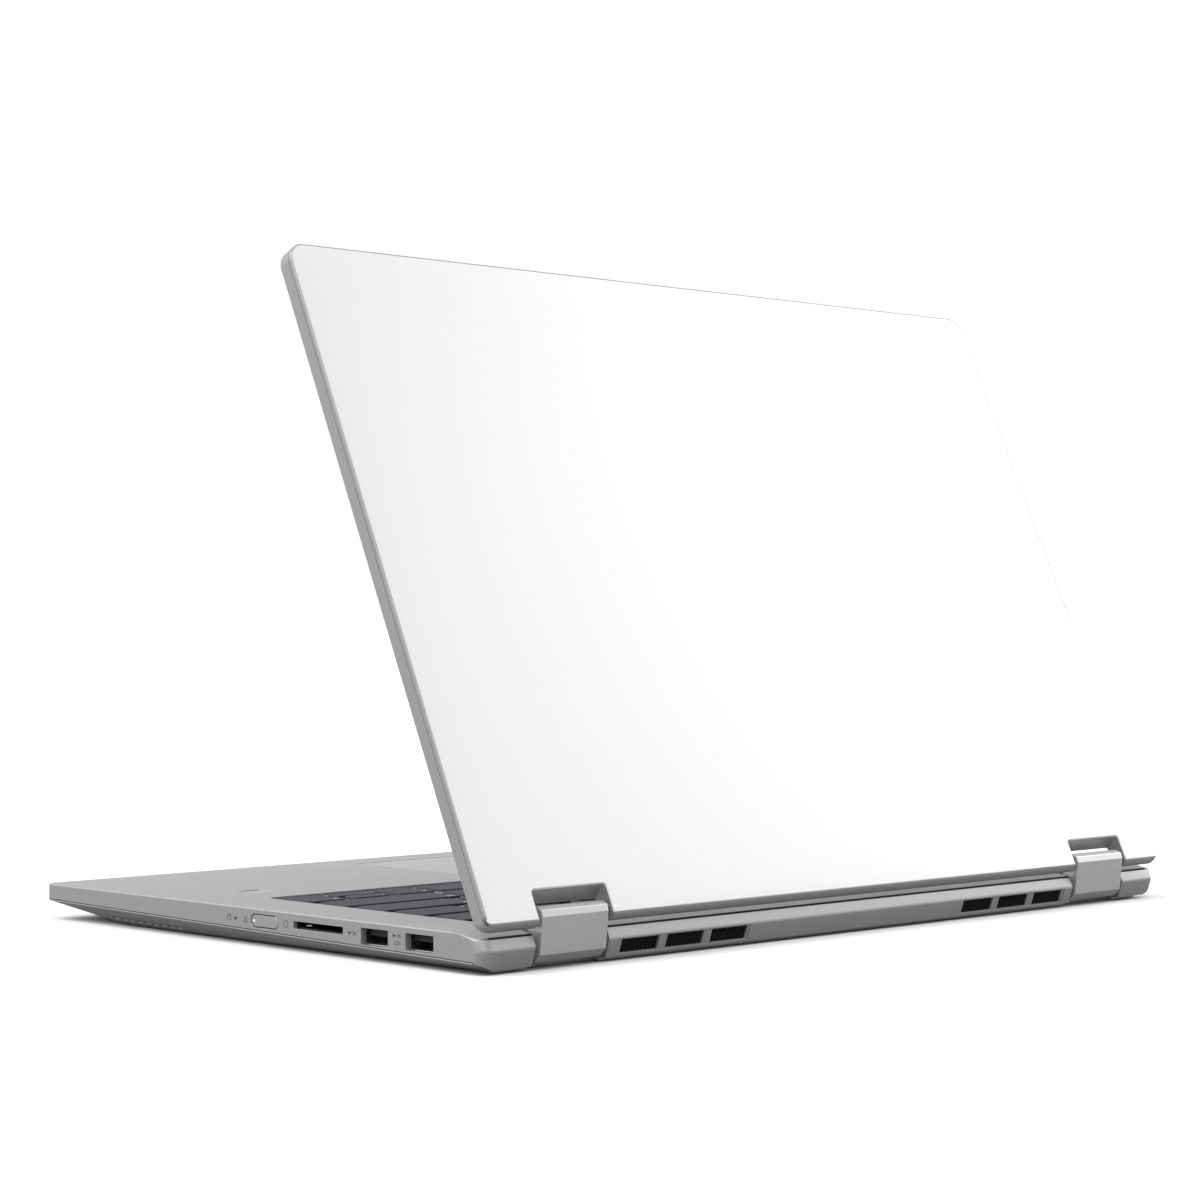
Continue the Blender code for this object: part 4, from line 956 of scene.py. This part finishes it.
# ------------------------------------------------------------------ hinges
def make_hinge_covers():
    outline = [(106.0, 18.2), (105.1, 17.3), (104.2, 6.2), (104.2, 3.6), (105.2, 2.0), (107.6, 2.0),
               (110.1, 4.5), (111.25, 15.6), (110.65, 17.55), (108.75, 18.4)]
    points = fillet(outline, 0.3)
    lean = math.atan2(UPPER_AXIS.z - LOWER_AXIS.z, UPPER_AXIS.y - LOWER_AXIS.y)
    cavity = []
    for centre, start in ((LOWER_AXIS, lean + math.pi / 2), (UPPER_AXIS, lean - math.pi / 2)):
        for step in range(9):
            angle = start + math.pi * step / 8
            cavity.append((centre.y + 2.35 * math.cos(angle), centre.z + 2.35 * math.sin(angle)))
    for word, side in SIDES:
        span = sorted(side * x for x in HINGE_X)
        inner = sorted(side * x for x in (HINGE_X[0] + 1.4, HINGE_X[1] - 1.4))
        cover = moulded(points, *span, 0.3, "x")
        doors = together([rod((side * (HINGE_X[0] - 2), *axis.yz), (side * (HINGE_X[0] + 4), *axis.yz), 1.6)
                          for axis in (UPPER_AXIS, LOWER_AXIS)])
        cut(cover, prism(cavity, *inner, axis="x"), doors)
        finish_piece(cover, "hinge_shell_" + word, "hinge", "hinge_links", "hinge_cover_" + word)


# ------------------------------------------------------------------ lid
def lid_plan(inset, end_y, near_radius=LID_NEAR_RADIUS):
    """The lid's outline, moved in by inset and ending at end_y."""
    return rounded(-LID_HALF_WIDTH + inset, LID_FAR_Y + inset, LID_HALF_WIDTH - inset, end_y,
                   near_radius - inset / 2, LID_FAR_RADIUS - inset, steps=8)


def end_y(z):
    """The rounded hinge end of the lid at a height."""
    middle, foot, power = (0.15, 0.8, 2.0) if z < 0.15 else (0.15, LID_END_Y + 0.1, LID_END_ROUNDING)
    height = LID_HALF_THICKNESS + math.copysign(middle, middle - z)
    share = min(1.0, abs(z - middle) / height)
    return foot + (LID_HALF_THICKNESS - foot) * (1 - share ** power) ** (1 / power)


def lid_cutters(lip=0.0):
    """Cut-outs that the hinge covers stand in; lip rounds their edge on the lid's back."""
    thick = LID_HALF_THICKNESS
    shapes = []
    for _, side in SIDES:
        x0, x1 = sorted(side * x for x in LID_CUT_X)
        rings = []
        edge = [(thick - depth, grow) for grow, depth in quarter(lip)] if lip else [(thick, 0.0)]
        for z, grow in [(-6.0, 0.0)] + edge + [(6.0, lip)]:
            far_y = LID_CUT_Y + LID_CUT_SLOPE * (thick - min(z, thick)) - grow
            rings.append(level(rounded(x0 - grow, far_y, x1 + grow, 12.0, 0.5, 1.3 + grow), z))
        shapes.append(loft(rings))
    return together(shapes)


def make_lid_frame():
    thick = LID_HALF_THICKNESS
    heights = [(-thick + depth, inset) for depth, inset in quarter(0.5, 4)]
    heights += [(z, 0.0) for z in (-2.0, -1.5, -1.0, -0.5, 0.15, 0.7, 1.25, 1.7, 2.1, 2.5, 2.8, thick)]
    shell = loft([level(lid_plan(inset, end_y(z) - inset / 2), z) for z, inset in heights])
    glass = slab((-GLASS_HALF_WIDTH - 0.15, GLASS_Y[0] - 0.15, -6), (GLASS_HALF_WIDTH + 0.15, GLASS_Y[1] + 0.15, GLASS_BACK_Z + 0.3),
                 5.0, 0.05)
    cut(shell,
        box((-180, -232, LID_SEAM[0]), (180, LID_END_Y + 0.06, 9)),
        box((-157.8, -213.0, -9), (157.8, -18.0, 9)),
        glass,
        lid_cutters(),
        together([box(*mirrored((84, -11.0, -1.7), (111.6, 1.5, 8.0), side)) for _, side in SIDES]),
        together([rod((side * 110, 0, 0), (side * 116, 0, 0), 1.35) for _, side in SIDES]),
        box((-32, -218.2, GLASS_BACK_Z), (32, -212.0, 8)))
    finish_piece(shell, "lid_inner_shell", "silver", "lid", "lid_frame", turn=LID)


def make_lid_cover():
    rings = []
    heights = [(LID_SEAM[1] + depth, inset) for depth, inset in quarter(0.12)]
    heights += [(LID_HALF_THICKNESS - depth, inset) for depth, inset in reversed(quarter(0.4, 4))]
    for z, inset in heights:
        rings.append(level(lid_plan(inset, LID_END_Y), z))
    cover = loft(rings)
    rim = PANEL_MARGIN - 0.03
    well = rounded(-LID_HALF_WIDTH + rim, LID_FAR_Y + rim, LID_HALF_WIDTH - rim, LID_END_Y + 0.03,
                   PANEL_NEAR_RADIUS, LID_FAR_RADIUS - rim, steps=8)
    cut(cover, prism(well, PANEL_BASE_Z - 0.3, 9))
    cut(cover, lid_cutters(0.12))
    finish_piece(cover, "lid_outer_shell", "silver", "lid", "lid_cover", turn=LID)


def make_lid_panel():
    """The white panel: thin, with soft edges and a slight crown."""
    rings = [level(lid_plan(PANEL_MARGIN, LID_END_Y, PANEL_NEAR_RADIUS), PANEL_BASE_Z)]
    top = LID_HALF_THICKNESS
    for depth, inset in reversed(quarter(0.18)):
        rings.append(level(lid_plan(PANEL_MARGIN + inset, LID_END_Y - inset, PANEL_NEAR_RADIUS), top - depth))
    for inset in (0.5, 1.0, 2.0, 3.2, 4.6, 6.5, 9.0, 12.0, 16.0, 22.0, 30.0, 42.0):
        z = top + PANEL_CROWN * (1 - math.exp(-inset / CROWN_REACH))
        far = max(1.0, LID_FAR_RADIUS - PANEL_MARGIN - inset * 0.5)
        near = max(0.5, PANEL_NEAR_RADIUS - inset * 0.5)
        reach = PANEL_MARGIN + inset
        plan = rounded(-LID_HALF_WIDTH + reach, LID_FAR_Y + reach, LID_HALF_WIDTH - reach, LID_END_Y - inset,
                       near, far, steps=8)
        rings.append(level(plan, z))
    panel = loft(rings)
    cut(panel, lid_cutters(0.2))
    finish_piece(panel, "lid_white_panel", "white", "lid", "lid_outer_panel", turn=LID)


def make_screen():
    low = -LID_HALF_THICKNESS
    glass = slab((-GLASS_HALF_WIDTH, GLASS_Y[0], low), (GLASS_HALF_WIDTH, GLASS_Y[1], GLASS_BACK_Z), 4.7, 0.12, steps=8)
    finish_piece(glass, "front_glass", "glass", "lid", "screen_glass", turn=LID)
    lit = slab((-SCREEN_HALF_WIDTH, SCREEN_Y[0], low - 0.012), (SCREEN_HALF_WIDTH, SCREEN_Y[1], low + 0.05), 0.4, 0.005)
    finish_piece(lit, "active_area", "screen", "lid", turn=LID)
    outer = slab((-GLASS_HALF_WIDTH - 0.12, GLASS_Y[0] - 0.12, low - 0.12), (GLASS_HALF_WIDTH + 0.12, GLASS_Y[1] + 0.12, low + 0.4),
                 4.9, 0.1, steps=8)
    inner = slab((-GLASS_HALF_WIDTH + 0.5, GLASS_Y[0] + 0.5, low - 1), (GLASS_HALF_WIDTH - 0.5, GLASS_Y[1] - 0.5, low + 1),
                 4.3, 0.02, steps=8)
    finish_piece(cut(outer, inner), "glass_gasket", "rubber", "lid", turn=LID)
    lens = turned([(0.5, low - 0.06), (1.3, low - 0.05), (1.5, low - 0.02), (1.5, low + 0.1)], (0, -215.0))
    finish_piece(lens, "webcam_lens", "lens", "lid", turn=LID)
    lamp = turned([(0.25, low - 0.03), (0.35, low - 0.02), (0.35, low + 0.1)], (6.0, -215.0), 12)
    finish_piece(lamp, "webcam_lamp", "legend", "lid", turn=LID)


# ------------------------------------------------------------------ carried-over nodes
def finish_inner_parts():
    """Better materials for the CAD pieces whose shape is right as it is."""
    finishes = {
        "steel": ("hinge_core_left", "hinge_core_right", "base_hinge_arm_left",
                                "base_hinge_arm_right", "lid_hinge_arm_left", "lid_hinge_arm_right",
                                "keyboard_plate"),
        "board": ("mainboard", "io_board", "ssd_module", "wifi_card"),
        "copper": ("heat_pipe", "fin_stack"),
        "black": ("battery_pack", "speaker_left", "speaker_right", "fan_housing", "fan_rotor", "display_panel",
                  "webcam_module", "power_jack", "audio_jack", "reset_button"),
    }
    for finish, names in finishes.items():
        for name in names:
            mesh = NODES[name].data
            mesh.materials.clear()
            mesh.materials.append(MATERIALS[finish])


# ------------------------------------------------------------------ stage
def make_floor():
    """A white floor, which lights the object from below as a grey one would."""
    bm = bmesh.new()
    bmesh.ops.create_grid(bm, x_segments=1, y_segments=1, size=60.0)
    floor = solid(bm)
    floor.name = "floor"
    mat = principled("white_floor", (0.80, 0.80, 0.80), 0.9, Specular_IOR_Level=0.0)
    grey = node(mat, "ShaderNodeBsdfDiffuse", Color=(*[FLOOR_BOUNCE] * 3, 1.0))
    path = node(mat, "ShaderNodeLightPath")
    mix = node(mat, "ShaderNodeMixShader")
    nodes = mat.node_tree.nodes
    link(mat, path, "Is Camera Ray", mix, 0)
    link(mat, grey, "BSDF", mix, 1)
    link(mat, nodes["Principled BSDF"], "BSDF", mix, 2)
    link(mat, mix, "Shader", nodes["Material Output"], "Surface")
    floor.data.materials.append(mat)


def add_light(kind, azimuth, elevation, distance=3.0):
    """A light aimed at the object; azimuth turns from the rear (+Y) towards the object's right (+X)."""
    azimuth, elevation = math.radians(azimuth), math.radians(elevation)
    back = Vector((math.sin(azimuth) * math.cos(elevation), math.cos(azimuth) * math.cos(elevation),
                   math.sin(elevation)))
    light = bpy.data.lights.new("light", kind)
    obj = bpy.data.objects.new("light", light)
    bpy.context.scene.collection.objects.link(obj)
    obj.location = Vector((0.0, 0.1, 0.1)) + back * distance
    obj.rotation_mode = "QUATERNION"
    obj.rotation_quaternion = (-back).to_track_quat("-Z", "Y")
    return light


def make_lights():
    """Broad lights from behind and from the front right, a softbox from the left, and an even sky."""
    for azimuth, elevation, strength in ((45.0, 50.0, KEY_LEVEL), (122.0, 45.0, FILL_LEVEL)):
        light = add_light("SUN", azimuth, elevation)
        light.angle = math.radians(50.0)
        light.energy = math.pi * strength
    softbox = add_light("AREA", -76.0, 27.0, 2.2)
    softbox.shape = "DISK"
    softbox.size = 1.5
    softbox.energy = SOFTBOX_WATTS
    world = bpy.data.worlds.new("studio")
    world.use_nodes = True
    tree = world.node_tree
    path = tree.nodes.new("ShaderNodeLightPath")
    level_of = tree.nodes.new("ShaderNodeMapRange")
    level_of.inputs["To Min"].default_value = SKY_LEVEL
    level_of.inputs["To Max"].default_value = 1.0
    tree.links.new(path.outputs["Is Camera Ray"], level_of.inputs["Value"])
    tree.nodes["Background"].inputs["Color"].default_value = (1.0, 1.0, 1.0, 1.0)
    tree.links.new(level_of.outputs["Result"], tree.nodes["Background"].inputs["Strength"])
    bpy.context.scene.world = world
    bpy.context.scene.view_settings.view_transform = "Standard"


def make_camera():
    azimuth, elevation, roll = (math.radians(a) for a in (135.698, -0.348, 0.034))
    back = Vector((math.sin(azimuth) * math.cos(elevation), -math.cos(azimuth) * math.cos(elevation),
                   math.sin(elevation)))
    data = bpy.data.cameras.new("camera")
    data.sensor_width = 36.0
    data.lens = 84.92
    data.clip_start = 0.05
    data.clip_end = 200.0
    camera = bpy.data.objects.new("camera", data)
    bpy.context.scene.collection.objects.link(camera)
    camera.rotation_mode = "QUATERNION"
    turn = (-back).to_track_quat("-Z", "Y")
    camera.rotation_quaternion = turn @ Matrix.Rotation(-roll, 3, "Z").to_quaternion()
    camera.location = (0.69849, 0.70508, 0.1018)
    bpy.context.scene.camera = camera


# ------------------------------------------------------------------ the scene
make_deck_shell()
make_bottom_pan()
make_screws()
make_feet()
make_usb_ports()
make_card_reader()
make_left_ports()
make_vent_fins()
make_rear_shade_strip()
make_deck_controls()
make_power_button()
make_printed_marks()
make_keys()
make_hinge_covers()
make_lid_frame()
make_lid_cover()
make_lid_panel()
make_screen()
finish_inner_parts()
make_floor()
make_lights()
make_camera()
